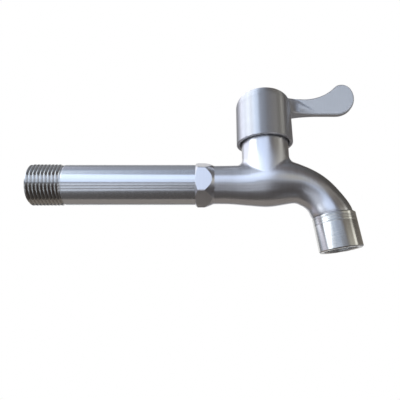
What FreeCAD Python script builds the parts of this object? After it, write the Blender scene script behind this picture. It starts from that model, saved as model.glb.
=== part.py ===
import FreeCAD, Part

import math
import os

import Sketcher
from FreeCAD import Placement, Rotation, Vector

# Mop sink tap: a quarter-turn bib tap on a long threaded pipe.
# Origin: centre of the pipe's inlet face. +X runs along the pipe to the spout, +Z up the neck.
# The tap is symmetric about the XZ plane at rest, where it is closed and the lever lies over the spout.

# Driving sizes, in millimetres and degrees
SIZES = [
    # inlet pipe
    ("thread_dia", 20.955, "major diameter of the G 1/2 thread"),
    ("thread_step", 0.2775, "thread proud of the pipe"),
    ("pipe_wall", 2.0, "wall of the pipe"),
    ("pipe_len", 83.1, "inlet face to the collar's shoulder"),
    ("thread_len", 17.5, "threaded length"),
    ("thread_lead", 0.85, "chamfer where the thread starts"),
    # clearances
    ("fit_gap", 0.05, "radial gap of a fit that turns or slides in"),
    ("face_gap", 0.1, "gap between faces that turn past each other"),
    ("disc_film", 0.02, "film between the ceramic discs"),
    ("run_out", 1.0, "how far a cutter runs on past what it cuts"),
    # collar and spigot
    ("spigot_len", 8.0, "how far the body's spigot enters the pipe"),
    ("collar_proud", 0.1, "collar's flats proud of the pipe"),
    ("collar_corner", 0.15, "what turning takes off the hexagon's corners"),
    ("collar_len", 4.7, "shoulder to the end of the collar's crest"),
    ("collar_edge", 1.1, "chamfer at the shoulder"),
    ("collar_slope", 4.6, "crest to where the slope meets the barrel"),
    ("collar_sink", 0.5, "how deep the slope runs on inside the barrel"),
    ("collar_tail", 1.2, "length of that run"),
    # cast body
    ("barrel_inset", 0.45, "barrel inside the pipe's outline"),
    ("barrel_from", 1.54, "shoulder to where the barrel starts inside the collar"),
    ("waist_back", 24.0, "neck's axis back to the end of the even barrel"),
    ("waist_gain", 0.2, "barrel's growth half way from there to the swell"),
    ("swell_back", 12.0, "neck's axis back to where the barrel swells"),
    ("swell_share", 0.2115, "share of the growth from barrel to belly that it has there"),
    ("swell_lift", -0.1, "its centre above the pipe's axis"),
    ("flank_back", 6.0, "neck's axis to the belly's two flanks"),
    ("flank_share", 0.615, "share of that growth on the flank before the neck's axis"),
    ("flank_lift", 0.45, "its centre above the pipe's axis"),
    ("neck_offset", 36.1, "shoulder to the neck's axis"),
    ("belly_proud", 0.3, "belly round the valve chamber, proud of the neck"),
    ("belly_lift", 1.15, "belly's centre above the pipe's axis"),
    ("throat_lift", 1.5, "centre of the flank behind the neck's axis"),
    ("neck_wall", 2.735, "neck outside the valve chamber"),
    ("neck_top", 25.0, "top face of the neck above the pipe's axis"),
    ("neck_round", 4.0, "fillet round the foot of the neck"),
    ("bend_offset", 12.9, "neck's axis to the bend's centre"),
    ("bend_inner", 8.9, "radius of the bend's inner line"),
    ("bend_drop", 18.3, "bend's centre below the pipe's axis"),
    ("root_gain", 3.0, "spout where the bend starts, above its slimmest part"),
    ("early_turn", 20.0, "turn of the bend where the spout has tapered"),
    ("early_gain", 0.8, "spout there, above its slimmest part"),
    ("slim_turn", 40.0, "turn of the bend where the spout is slimmest"),
    ("late_turn", 60.0, "turn of the bend where it widens again"),
    ("late_gain", 0.1, "spout there, above its slimmest part"),
    ("last_turn", 75.0, "turn of the bend at its last round section"),
    ("spout_dia", 18.3, "slimmest part of the spout"),
    ("spout_bore", 12.6, "waterway through the bend"),
    ("tip_reach", 32.0, "neck's axis to the centre of the spout's end"),
    ("tip_drop", 15.8, "centre of the spout's end below the pipe's axis"),
    ("tip_step", 0.8, "shoulder round the thread on the spout's tip"),
    # waterway inside the body
    ("inlet_bore", 11.4, "waterway through the spigot and barrel"),
    ("knee_reach", 20.0, "shoulder to the knee of the inlet waterway"),
    ("inlet_fall", 3.4, "waterway's drop under the seat"),
    ("seat_level", 4.2, "seat above the pipe's axis"),
    ("seat_bore", 10.0, "hole through the seat"),
    ("chamber_dia", 18.63, "valve chamber, the thread's minor diameter"),
    ("thread_relief", 0.4, "neck's thread wider than the chamber"),
    ("outlet_reach", 4.6, "neck's axis to the first ring of the outlet waterway"),
    ("outlet_lift", 4.2, "that ring's centre above the seat"),
    ("outlet_dia", 9.6, "that ring"),
    ("outlet_lean", 14.0, "lean of that ring"),
    ("bore_early_loss", 1.2, "waterway narrower at the start of the bend"),
    ("bore_early_lift", 1.4, "its centre outside the spout's there"),
    ("bore_late_loss", 0.4, "waterway narrower in the middle of the bend"),
    # nozzle
    ("nozzle_tilt", 7.6, "lean of the nozzle from the vertical"),
    ("nozzle_wall", 1.5, "nozzle outside the tip's thread"),
    ("nozzle_len", 17.6, "length of the nozzle"),
    ("nozzle_edge", 0.5, "chamfer at both ends of the nozzle"),
    ("nozzle_shift", 0.35, "nozzle's axis outside the spout's end centre"),
    ("tip_dia", 18.0, "thread on the spout's tip"),
    ("tip_len", 7.6, "length of the spout's tip"),
    ("mouth_step", 0.3, "aerator's sleeve inside the thread"),
    ("lip_step", 0.8, "nozzle's lip inside the aerator's sleeve"),
    # aerator
    ("washer_len", 1.5, "thickness of the nozzle washer"),
    ("washer_inset", 0.2, "nozzle washer's bore outside the waterway"),
    ("insert_len", 4.6, "height of the aerator insert"),
    ("insert_wall", 1.2, "wall of the aerator insert"),
    ("plate_len", 1.0, "thickness of the spray plate"),
    ("plate_hole", 1.2, "holes in the spray plate"),
    ("plate_rim", 2.85, "plate's edge to its outer ring of holes"),
    ("plate_spacing", 2.4, "outer ring of holes to the inner one"),
    ("plate_outer_count", 12, "holes in the outer ring"),
    ("plate_inner_count", 6, "holes in the inner ring"),
    ("mesh_len", 0.6, "thickness of the mesh pack"),
    ("mesh_rim", 1.0, "plain rim of the mesh pack"),
    ("mesh_pitch", 1.9, "spacing of the mesh openings"),
    ("mesh_bar", 0.6, "width of the mesh wires"),
    # headwork
    ("gasket_len", 1.0, "thickness of the headwork gasket"),
    ("gasket_inset", 0.5, "gasket inside the neck's outline"),
    ("hex_inset", 1.55, "hexagon's flats inside the neck's outline"),
    ("hex_len", 4.6, "height of the hexagon"),
    ("hex_edge", 0.6, "chamfer at the hexagon's foot"),
    ("hex_crown", 0.8, "height of the chamfer round its top"),
    ("boss_rim", 3.1, "round boss outside the spindle"),
    ("boss_len", 3.4, "height of the round boss"),
    ("turned_edge", 0.5, "chamfers on the turned brass"),
    ("cage_room", 0.215, "headwork below its thread, inside the chamber"),
    ("cage_wall", 1.1, "wall round the ceramic discs"),
    ("shank_len", 9.0, "threaded length of the headwork"),
    ("seal_len", 2.2, "height of the seat seal"),
    ("seal_inset", 0.2, "seat seal's bore outside the seat's"),
    ("seal_squeeze", 0.4, "cage's foot above the seat"),
    ("disc_len", 2.8, "thickness of each ceramic disc"),
    ("port_rim", 1.7, "disc's rim outside its ports"),
    ("port_in", 4.6, "inner diameter of the disc ports"),
    ("port_angle", 76.0, "width of each disc port"),
    ("window_len", 3.4, "height of the cage windows"),
    ("window_width", 11.0, "width of the cage windows"),
    ("slot_width", 2.6, "slot across the moving disc"),
    ("slot_deep", 1.2, "depth of that slot"),
    # spindle
    ("flange_len", 1.8, "thickness of the spindle's flange"),
    ("stop_deep", 1.8, "depth of the stops in the cage"),
    ("stop_turn", 90.0, "how far the lever turns"),
    ("lug_angle", 40.0, "width of the spindle's stop lug"),
    ("stop_play", 1.5, "play at each stop"),
    ("glide_len", 0.5, "thickness of the glide washer"),
    ("stem_dia", 8.8, "spindle in the headwork"),
    ("stem_edge", 0.4, "chamfer at the spindle's top"),
    ("ring_wire", 1.15, "section of the spindle's o-rings"),
    ("ring_groove", 1.6, "width of their grooves"),
    ("ring_low", 3.2, "lower o-ring below the hexagon"),
    ("ring_spacing", 3.6, "between the two o-rings"),
    ("clip_len", 0.7, "thickness of the retaining clip"),
    ("clip_rim", 1.8, "retaining clip proud of the spindle"),
    ("clip_deep", 0.7, "depth of the clip's groove"),
    ("clip_play", 0.02, "clip's bore outside its groove"),
    ("clip_open", 5.55, "opening of the clip"),
    ("spline_step", 0.4, "splines inside the spindle's outline"),
    ("spline_deep", 0.45, "depth of the splines"),
    ("spline_len", 6.4, "length of the splines"),
    ("spline_count", 20, "number of splines"),
    ("spline_share", 0.8, "share of the pitch that a groove takes"),
    ("spline_relief", 0.02, "groove's mouth outside the splines"),
    ("spline_base", 1.0, "plain stem between the clip and the splines"),
    # lever
    ("cap_room", 1.0, "cap's bore outside the neck"),
    ("cap_wall", 1.5, "wall of the cap"),
    ("cap_draft", 0.25, "how much the cap's radius shrinks up to its top"),
    ("cap_lap", 2.9, "cap's rim below the neck's top"),
    ("cap_height", 28.5, "cap's rim to its top"),
    ("cap_round", 7.6, "fillet round the cap's top"),
    ("rim_round", 0.45, "fillet round its rim"),
    ("cap_crown", 4.0, "slope under the cap's roof"),
    ("boss_wall", 2.2, "wall round the spline insert"),
    ("insert_sleeve", 2.3, "spline insert outside the splines"),
    ("insert_lift", 0.5, "insert above the splines' foot"),
    ("head_seat", 4.4, "depth of the screw's seat below the top"),
    ("well_room", 0.9, "well outside the screw's head"),
    ("screw_dia", 4.0, "handle screw"),
    ("screw_room", 0.2, "screw's hole in the cap outside the screw"),
    ("screw_rim", 1.5, "screw's head outside its shank"),
    ("screw_head_len", 1.9, "height of that head"),
    ("screw_dome", 0.9, "how much the head narrows to its top"),
    ("screw_len", 7.5, "handle screw below its head"),
    ("screw_point", 0.5, "how much the screw narrows at its point"),
    ("screw_slot", 0.9, "width of the screw's cross recess"),
    ("recess_span", 4.2, "span of the cross recess"),
    ("recess_deep", 1.05, "depth of the cross recess"),
    ("spring_washer_len", 0.9, "thickness of the spring washer"),
    ("spring_split", 0.5, "gap in the spring washer"),
    ("plug_len", 1.3, "thickness of the top plug"),
    ("plug_crown", 0.2, "rise of the plug above the cap"),
    ("plug_edge", 1.0, "slope round the plug's top"),
    # blade of the lever
    ("blade_reach", 49.2, "neck's axis to the blade's end"),
    ("blade_drop", 11.9, "blade's lower edge below the cap's top"),
    ("blade_height", 18.4, "lower edge to the highest point of the blade"),
    ("blade_end_round", 10.6, "radius of the blade's lower end"),
    ("blade_tip_round", 5.5, "radius of the blade's upper end"),
    ("blade_dip_round", 23.3, "radius of the hollow in the upper edge"),
    ("blade_dip_back", 26.9, "blade's end back to the lowest place of that hollow"),
    ("blade_back_round", 50, "radius of the upper edge from that place to the cap"),
    ("blade_thick", 3.2, "thickness of the blade"),
    ("root_width", 13.4, "widest place of the blade's root, inside the cap"),
    ("root_back", 18.3, "blade's end back to where the root ends on the lower edge"),
    ("root_lean", 59.0, "lean of the root's end from the vertical, back towards the cap"),
    ("root_inset", 1.95, "inside the cap's outline, where the upper edge turns down"),
    ("root_turn", 6.5, "radius of that turn"),
    ("root_tail", 5.6, "length of the root inside that place"),
    ("root_spread", 1.1, "inside that place, where the root has its full width"),
    ("blade_edge", 0.9, "rounding of the blade's edges"),
    ("blade_root_round", 1.0, "fillet between the blade and the cap"),
]

# Sizes that follow from the driving ones
DERIVED = [
    ("pipe_dia", "thread_dia - 2 * thread_step"),
    ("pipe_bore", "pipe_dia - 2 * pipe_wall"),
    ("collar_flats", "pipe_dia + 2 * collar_proud"),
    ("barrel_dia", "pipe_dia - 2 * barrel_inset"),
    ("neck_x", "pipe_len + neck_offset"),
    ("bend_x", "neck_x + bend_offset"),
    ("neck_dia", "chamber_dia + 2 * neck_wall"),
    ("belly_dia", "neck_dia + 2 * belly_proud"),
    ("swell_dia", "barrel_dia + (belly_dia - barrel_dia) * swell_share"),
    ("flank_dia", "barrel_dia + (belly_dia - barrel_dia) * flank_share"),
    ("spout_end_dia", "tip_dia + 2 * tip_step"),
    ("hex_base", "neck_top + gasket_len"),
    ("hex_flats", "neck_dia - 2 * hex_inset"),
    ("headwork_top", "hex_base + hex_len + boss_len"),
    ("boss_dia", "stem_dia + 2 * boss_rim"),
    ("cage_dia", "chamber_dia - 2 * cage_room"),
    ("cage_bore", "cage_dia - 2 * cage_wall"),
    ("cage_foot", "seat_level + seal_squeeze"),
    ("seal_bore", "seat_bore + 2 * seal_inset"),
    ("port_out", "cage_bore - 2 * port_rim"),
    ("flange_dia", "cage_bore - 2 * stop_deep"),
    ("disc_base", "seat_level + seal_len"),
    ("film_level", "disc_base + disc_len"),
    ("moving_base", "film_level + disc_film"),
    ("moving_top", "moving_base + disc_len"),
    ("flange_base", "moving_top + window_len"),
    ("flange_top", "flange_base + flange_len"),
    ("cage_roof", "flange_top + glide_len + face_gap"),
    ("clip_base", "headwork_top + face_gap"),
    ("clip_dia", "stem_dia + 2 * clip_rim"),
    ("clip_groove", "stem_dia - 2 * clip_deep"),
    ("spline_dia", "stem_dia - 2 * spline_step"),
    ("spline_foot", "clip_base + clip_len + spline_base"),
    ("spindle_top", "spline_foot + spline_len"),
    ("insert_dia", "spline_dia + 2 * insert_sleeve"),
    ("insert_foot", "spline_foot + insert_lift"),
    ("web_base", "spindle_top + 3 * face_gap"),
    ("cap_bore", "neck_dia + 2 * cap_room"),
    ("cap_dia", "cap_bore + 2 * cap_wall"),
    ("cap_rim", "neck_top - cap_lap"),
    ("cap_top", "cap_rim + cap_height"),
    ("screw_seat", "cap_top - head_seat"),
    ("screw_under", "screw_seat + spring_washer_len"),
    ("screw_head", "screw_dia + 2 * screw_rim"),
    ("head_well", "screw_head + 2 * well_room"),
    ("blade_bottom", "cap_top - blade_drop"),
    ("blade_top", "blade_bottom + blade_height"),
    ("blade_dip_reach", "blade_reach - blade_dip_back"),
    ("root_reach", "blade_reach - root_back"),
    ("root_meet", "cap_dia / 2 - root_inset"),
    ("root_start", "root_meet - root_tail"),
    ("root_end", "root_reach + run_out * tan(root_lean)"),
    ("root_run", "root_end - root_meet + root_spread"),
    ("root_growth", "(root_width - blade_thick) / 2"),
    ("root_sweep", "(root_run ^ 2 + root_growth ^ 2) / (2 * root_growth)"),
    ("tip_x", "neck_x + tip_reach"),
    ("tip_z", "0 - tip_drop"),
    ("nozzle_x", "tip_x + nozzle_shift * cos(nozzle_tilt)"),
    ("nozzle_z", "tip_z + nozzle_shift * sin(nozzle_tilt)"),
    ("nozzle_dia", "tip_dia + 2 * nozzle_wall"),
    ("mouth_dia", "tip_dia - 2 * mouth_step"),
    ("lip_dia", "mouth_dia - 2 * lip_step"),
    ("plate_dia", "mouth_dia - 2 * insert_wall - 2 * fit_gap"),
    ("washer_bore", "spout_bore + 2 * washer_inset"),
    ("washer_from", "tip_len + face_gap"),
    ("insert_from", "washer_from + washer_len"),
    ("plate_from", "insert_from + insert_wall"),
    ("mesh_from", "insert_from + insert_len - mesh_len"),
]

# Two places closer than this are the same, in millimetres
SAME = 0.005

doc = FreeCAD.newDocument("MopSinkTap")
sheet = doc.addObject("Spreadsheet::Sheet", "Sizes")
for row, (alias, value, meaning) in enumerate(SIZES, start=1):
    sheet.set(f"A{row}", alias)
    sheet.set(f"B{row}", str(value))
    sheet.setAlias(f"B{row}", alias)
    sheet.set(f"C{row}", meaning)
for row, (alias, formula) in enumerate(DERIVED, start=len(SIZES) + 1):
    sheet.set(f"A{row}", alias)
    sheet.set(f"B{row}", f"={formula}")
    sheet.setAlias(f"B{row}", alias)
doc.recompute()

ALIASES = sorted([row[0] for row in SIZES] + [row[0] for row in DERIVED], key=len, reverse=True)
NODES = []


def bound(formula):
    """The formula with every size written as a cell of the sheet."""
    words = []
    word = ""
    for letter in str(formula) + " ":
        if letter.isalnum() or letter == "_":
            word += letter
            continue
        if word in ALIASES:
            word = f"Sizes.{word}"
        words.append(word + letter)
        word = ""
    return "".join(words).strip()


def number(formula):
    """The formula's value now."""
    return float(sheet.evalExpression(bound(formula)))


def tie(obj, **properties):
    """Bind properties of an object to formulas."""
    for name, formula in properties.items():
        obj.setExpression(name, bound(formula))
    return obj


def place(obj, x=None, y=None, z=None, turn=None, about=(0, 1, 0)):
    """Bind the object's place, and its turn about an axis, to formulas."""
    spin = Rotation(Vector(*about), number(turn)) if turn is not None else Rotation()
    obj.Placement = Placement(Vector(0, 0, 0), spin)
    for letter, formula in (("x", x), ("y", y), ("z", z)):
        if formula is not None:
            obj.setExpression(f"Placement.Base.{letter}", bound(formula))
    if turn is not None:
        obj.setExpression("Placement.Rotation.Angle", bound(turn))
    return obj


def plane_of(body, role):
    """One of the body's own origin planes."""
    return next(item for item in body.Origin.OriginFeatures if item.Role == role)


def new_sketch(body, name, role):
    sketch = body.newObject("Sketcher::SketchObject", name)
    sketch.AttachmentSupport = (plane_of(body, role), [""])
    sketch.MapMode = "FlatFace"
    return sketch


def fix_point(sketch, geometry, position, across, up, name):
    """Hold a sketch point at two formulas."""
    for kind, formula in (("DistanceX", across), ("DistanceY", up)):
        if formula is None:
            continue
        rule = Sketcher.Constraint(kind, -1, 1, geometry, position, number(formula))
        index = sketch.addConstraint(rule)
        label = f"{name}_{kind[-1].lower()}"
        sketch.renameConstraint(index, label)
        sketch.setExpression(f"Constraints.{label}", bound(formula))


def fix_radius(sketch, geometry, formula, name):
    index = sketch.addConstraint(Sketcher.Constraint("Radius", geometry, number(formula)))
    sketch.renameConstraint(index, name)
    sketch.setExpression(f"Constraints.{name}", bound(formula))


def draw_polygon(sketch, points):
    """A closed outline through points given as pairs of formulas."""
    spots = [Vector(number(across), number(up), 0) for across, up in points]
    first = sketch.GeometryCount
    for here, there in zip(spots, spots[1:] + spots[:1]):
        sketch.addGeometry(Part.LineSegment(here, there), False)
    for step in range(len(spots)):
        joined = first + (step + 1) % len(spots)
        sketch.addConstraint(Sketcher.Constraint("Coincident", first + step, 2, joined, 1))
    for step, (across, up) in enumerate(points):
        fix_point(sketch, first + step, 1, across, up, f"p{first + step}")


def turned(name, profile, x=None, z=None, turn=None):
    """A piece turned about its own Z axis from a profile of (radius, height) formulas."""
    body = doc.addObject("PartDesign::Body", name)
    sketch = new_sketch(body, f"{name}_profile", "XZ_Plane")
    draw_polygon(sketch, profile)
    turning = body.newObject("PartDesign::Revolution", f"{name}_turning")
    turning.Profile = sketch
    turning.ReferenceAxis = (sketch, ["V_Axis"])
    turning.Angle = 360
    body.Tip = turning
    place(body, x=x, z=z, turn=turn)
    return body


def round_rims(body, name, radius, rims):
    """Fillet the circular edges that lie at the given (radius, height) formulas."""
    doc.recompute()
    wanted = [(number(r), number(level)) for r, level in rims]
    base = body.Tip
    chosen = []
    for index, edge in enumerate(base.Shape.Edges, start=1):
        if not isinstance(edge.Curve, Part.Circle):
            continue
        for r, level in wanted:
            if abs(edge.Curve.Radius - r) < SAME and abs(edge.Curve.Center.z - level) < SAME:
                chosen.append(f"Edge{index}")
    fillet = body.newObject("PartDesign::Fillet", name)
    fillet.Base = (base, chosen)
    tie(fillet, Radius=radius)
    body.Tip = fillet
    return body


def rod(name, dia, height, x=None, y=None, z=None, turn=None, about=(0, 1, 0)):
    cylinder = doc.addObject("Part::Cylinder", name)
    tie(cylinder, Radius=f"({dia}) / 2", Height=height)
    return place(cylinder, x=x, y=y, z=z, turn=turn, about=about)


def ball(name, dia, x, z):
    sphere = doc.addObject("Part::Sphere", name)
    tie(sphere, Radius=f"({dia}) / 2")
    return place(sphere, x=x, z=z)


def block(name, length, width, height, x=None, y=None, z=None):
    box = doc.addObject("Part::Box", name)
    tie(box, Length=length, Width=width, Height=height)
    return place(box, x=x, y=y, z=z)


def wedge_ring(name, outer, inner, angle, start, height, z):
    """A piece of a ring that starts at an angle about Z and spans another."""
    pie = doc.addObject("Part::Cylinder", f"{name}_pie")
    tie(pie, Radius=f"({outer}) / 2", Height=height, Angle=angle)
    place(pie, z=z, turn=start, about=(0, 0, 1))
    core = rod(f"{name}_core", inner, height, z=z)
    return cut(name, pie, core)


def cut(name, base, *tools):
    tool = tools[0]
    if len(tools) > 1:
        tool = fuse(f"{name}_tools", *tools)
    result = doc.addObject("Part::Cut", name)
    result.Base = base
    result.Tool = tool
    return result


def fuse(name, *pieces):
    result = doc.addObject("Part::MultiFuse", name)
    result.Shapes = list(pieces)
    return result


def common(name, *pieces):
    result = doc.addObject("Part::MultiCommon", name)
    result.Shapes = list(pieces)
    return result


def spots_on(edge):
    """Five points along an edge."""
    first = edge.FirstParameter
    step = (edge.LastParameter - first) / 4
    return [edge.valueAt(first + step * count) for count in range(5)]


def shared_edges(joined, first, second):
    """Numbers of the joined shape's edges that lie on the outer faces of both pieces."""
    shells = [first.Shape.Shells[0], second.Shape.Shells[0]]
    chosen = []
    for index, edge in enumerate(joined.Shape.Edges, start=1):
        spots = [Part.Vertex(spot) for spot in spots_on(edge)]
        if all(shell.distToShape(spot)[0] < SAME for shell in shells for spot in spots):
            chosen.append(index)
    return chosen


def fillet_edges(name, base, radius, chosen):
    rounded = doc.addObject("Part::Fillet", name)
    rounded.Base = base
    rounded.Edges = [(index, radius, radius) for index in chosen]
    doc.recompute()
    return rounded


def keep(piece, node):
    """Name a finished piece and list it for export."""
    piece.Label = node
    NODES.append(piece)
    return piece


# Inlet pipe: a drawn tube with a parallel thread rolled on its inlet end
def make_inlet_pipe():
    pipe = turned(
        "pipe",
        [
            ("pipe_bore / 2", "0"),
            ("thread_dia / 2 - thread_lead", "0"),
            ("thread_dia / 2", "thread_lead"),
            ("thread_dia / 2", "thread_len"),
            ("pipe_dia / 2", "thread_len + (thread_dia - pipe_dia) / 2"),
            ("pipe_dia / 2", "pipe_len"),
            ("pipe_bore / 2", "pipe_len"),
        ],
        turn="90",
    )
    return keep(pipe, "inlet_pipe")


# Cast body: barrel, valve chamber and spout are one run of round sections
def spout_section(name, bend_angle, dia):
    """A circle across the spout, where its inner line has turned by an angle."""
    ring = doc.addObject("Part::Circle", name)
    tie(ring, Radius=f"({dia}) / 2")
    middle = f"(bend_inner + ({dia}) / 2)"
    place(
        ring,
        x=f"bend_x + {middle} * sin({bend_angle})",
        z=f"{middle} * cos({bend_angle}) - bend_drop",
        turn=f"90 + {bend_angle}",
    )
    return ring


def barrel_section(name, x, z, dia):
    """A circle across the pipe's axis."""
    ring = doc.addObject("Part::Circle", name)
    tie(ring, Radius=f"({dia}) / 2")
    place(ring, x=x, z=z, turn="90")
    return ring


def tip_section(name, dia, out="0"):
    """A circle across the nozzle's axis, at a distance from the spout's shoulder."""
    ring = doc.addObject("Part::Circle", name)
    tie(ring, Radius=f"({dia}) / 2")
    place(
        ring,
        x=f"tip_x + ({out}) * sin(nozzle_tilt)",
        z=f"tip_z - ({out}) * cos(nozzle_tilt)",
        turn="180 - nozzle_tilt",
    )
    return ring


def loft(name, sections):
    result = doc.addObject("Part::Loft", name)
    result.Sections = sections
    result.Solid = True
    result.Ruled = False
    return result


def make_collar():
    """Six flats on a turned boss: each flat runs out in a point where the slope meets it."""
    crest = "collar_flats / sqrt(3) - collar_corner"
    profile = [
        ("0", "0"),
        ("pipe_dia / 2 + collar_proud", "0"),
        (crest, "collar_edge"),
        (crest, "collar_len"),
        ("barrel_dia / 2 - collar_sink", "collar_len + collar_slope + collar_tail"),
        ("0", "collar_len + collar_slope + collar_tail"),
    ]
    boss = turned("collar_boss", profile, x="pipe_len", turn="90")
    prism = doc.addObject("Part::Prism", "collar_hexagon")
    prism.Polygon = 6
    tie(prism, Circumradius="collar_flats / sqrt(3)", Height="collar_len + collar_slope + 2 * collar_tail")
    place(prism, x="pipe_len", turn="90")
    return common("collar", boss, prism)


def make_body_outside():
    run = loft(
        "casting_run",
        [
            barrel_section("run_0", "pipe_len + barrel_from", "0", "barrel_dia"),
            barrel_section("run_1", "(pipe_len + barrel_from + neck_x - waist_back) / 2", "0", "barrel_dia"),
            barrel_section("run_2", "neck_x - waist_back", "0", "barrel_dia"),
            barrel_section("run_3", "neck_x - (waist_back + swell_back) / 2", "swell_lift / 2", "barrel_dia + waist_gain"),
            barrel_section("run_4", "neck_x - swell_back", "swell_lift", "swell_dia"),
            barrel_section("run_5", "neck_x - flank_back", "flank_lift", "flank_dia"),
            barrel_section("run_6", "neck_x", "belly_lift", "belly_dia"),
            barrel_section("run_7", "neck_x + flank_back", "throat_lift", "neck_dia"),
            spout_section("run_8", "0", "spout_dia + root_gain"),
            spout_section("run_9", "early_turn", "spout_dia + early_gain"),
            spout_section("run_10", "slim_turn", "spout_dia"),
            spout_section("run_11", "late_turn", "spout_dia + late_gain"),
            spout_section("run_12", "last_turn", "spout_end_dia"),
            tip_section("run_13", "spout_end_dia"),
        ],
    )
    neck = rod("neck", "neck_dia", "neck_top - belly_lift", x="neck_x", z="belly_lift")
    whole = fuse("casting", run, neck)
    doc.recompute()
    foot = shared_edges(whole, run, neck)
    return fillet_edges("casting_rounded", whole, number("neck_round"), foot)


def make_tap_body():
    outside = make_body_outside()
    tip = rod("tip", "tip_dia", "tip_len", x="nozzle_x", z="nozzle_z", turn="180 - nozzle_tilt")
    spigot = rod(
        "spigot",
        "pipe_bore - 2 * fit_gap",
        "spigot_len + collar_len",
        x="pipe_len - spigot_len",
        turn="90",
    )
    solid = fuse("body_solid", outside, make_collar(), tip, spigot)
    first_run = rod("bore_run", "inlet_bore", "spigot_len + knee_reach", x="pipe_len - spigot_len", turn="90")
    knee = ball("bore_knee", "inlet_bore", "pipe_len + knee_reach", "0")
    fall = "atan(inlet_fall / (neck_offset - knee_reach)) / 1 deg"
    second_run = rod(
        "bore_fall",
        "inlet_bore",
        "sqrt((neck_offset - knee_reach) ^ 2 + inlet_fall ^ 2)",
        x="pipe_len + knee_reach",
        turn=f"90 + {fall}",
    )
    pocket = ball("bore_pocket", "inlet_bore", "neck_x", "0 - inlet_fall")
    rise = rod("seat_hole", "seat_bore", "seat_level + inlet_fall + run_out", x="neck_x", z="0 - inlet_fall")
    chamber = rod("chamber", "chamber_dia", "neck_top", x="neck_x", z="seat_level")
    thread = rod(
        "neck_thread",
        "chamber_dia + thread_relief",
        "shank_len + run_out",
        x="neck_x",
        z="neck_top - shank_len - run_out",
    )
    outlet = loft(
        "outlet_bore",
        [
            outlet_start(),
            spout_section_bore("bore_1", "early_turn / 3", "spout_bore - bore_early_loss", "bore_early_lift"),
            spout_section_bore("bore_2", "(early_turn + slim_turn) / 2", "spout_bore - bore_late_loss", "0"),
            spout_section_bore("bore_3", "(slim_turn + late_turn) / 2", "spout_bore", "0"),
            spout_section_bore("bore_4", "last_turn", "spout_bore", "0"),
            tip_section("bore_5", "spout_bore", "tip_len / 2"),
            tip_section("bore_6", "spout_bore", "tip_len + run_out"),
        ],
    )
    body = cut("body", solid, first_run, knee, second_run, pocket, rise, chamber, thread, outlet)
    return keep(body, "tap_body")


def outlet_start():
    """The waterway's first ring, inside the valve chamber and above the seat."""
    ring = doc.addObject("Part::Circle", "bore_0")
    tie(ring, Radius="outlet_dia / 2")
    place(ring, x="neck_x + outlet_reach", z="seat_level + outlet_lift", turn="90 + outlet_lean")
    return ring


def spout_section_bore(name, bend_angle, dia, lift):
    ring = doc.addObject("Part::Circle", name)
    tie(ring, Radius=f"({dia}) / 2")
    middle = f"(bend_inner + spout_dia / 2 + {lift})"
    place(
        ring,
        x=f"bend_x + {middle} * sin({bend_angle})",
        z=f"{middle} * cos({bend_angle}) - bend_drop",
        turn=f"90 + {bend_angle}",
    )
    return ring


# Headwork: the brass cartridge that screws into the neck
def make_headwork_gasket():
    gasket = turned(
        "gasket",
        [
            ("chamber_dia / 2 + thread_relief", "neck_top"),
            ("neck_dia / 2 - gasket_inset", "neck_top"),
            ("neck_dia / 2 - gasket_inset", "hex_base"),
            ("chamber_dia / 2 + thread_relief", "hex_base"),
        ],
        x="neck_x",
    )
    return keep(gasket, "headwork_gasket")


def make_headwork_body():
    shank = turned(
        "headwork_turned",
        [
            ("cage_bore / 2", "cage_foot"),
            ("cage_dia / 2", "cage_foot"),
            ("cage_dia / 2", "neck_top - shank_len"),
            ("chamber_dia / 2", "neck_top - shank_len + turned_edge"),
            ("chamber_dia / 2", "hex_base"),
            ("chamber_dia / 2 - turned_edge", "hex_base + hex_len / 2"),
            ("boss_dia / 2", "hex_base + hex_len"),
            ("boss_dia / 2", "headwork_top - turned_edge"),
            ("boss_dia / 2 - turned_edge", "headwork_top"),
            ("stem_dia / 2 + fit_gap", "headwork_top"),
            ("stem_dia / 2 + fit_gap", "cage_roof"),
            ("cage_bore / 2", "cage_roof"),
        ],
    )
    prism = doc.addObject("Part::Prism", "headwork_prism")
    prism.Polygon = 6
    tie(prism, Circumradius="hex_flats / sqrt(3)", Height="hex_len")
    place(prism, z="hex_base")
    crown = turned(
        "headwork_crown",
        [
            ("stem_dia / 2 + fit_gap", "hex_base"),
            ("hex_flats / sqrt(3) - hex_edge", "hex_base"),
            ("hex_flats / sqrt(3)", "hex_base + hex_edge / sqrt(3)"),
            ("hex_flats / sqrt(3)", "hex_base + hex_len - hex_crown"),
            ("hex_flats / 2 - hex_edge / 2", "hex_base + hex_len"),
            ("stem_dia / 2 + fit_gap", "hex_base + hex_len"),
        ],
    )
    nut = common("headwork_nut", prism, crown)
    stops = wedge_ring(
        "headwork_stops",
        "cage_bore + 2 * face_gap",
        "flange_dia + 2 * face_gap",
        "360 - stop_turn - lug_angle - 2 * stop_play",
        "0 - lug_angle / 2 + stop_turn + lug_angle + stop_play",
        "flange_len",
        "flange_base",
    )
    window = block(
        "headwork_window",
        "cage_dia + 2 * run_out",
        "window_width",
        "window_len - 2 * face_gap",
        x="0 - cage_dia / 2 - run_out",
        y="0 - window_width / 2",
        z="moving_top + face_gap",
    )
    hollow = cut("headwork_hollow", fuse("headwork_solid", shank, nut, stops), window)
    return keep(place(hollow, x="neck_x"), "headwork_body")


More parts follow.
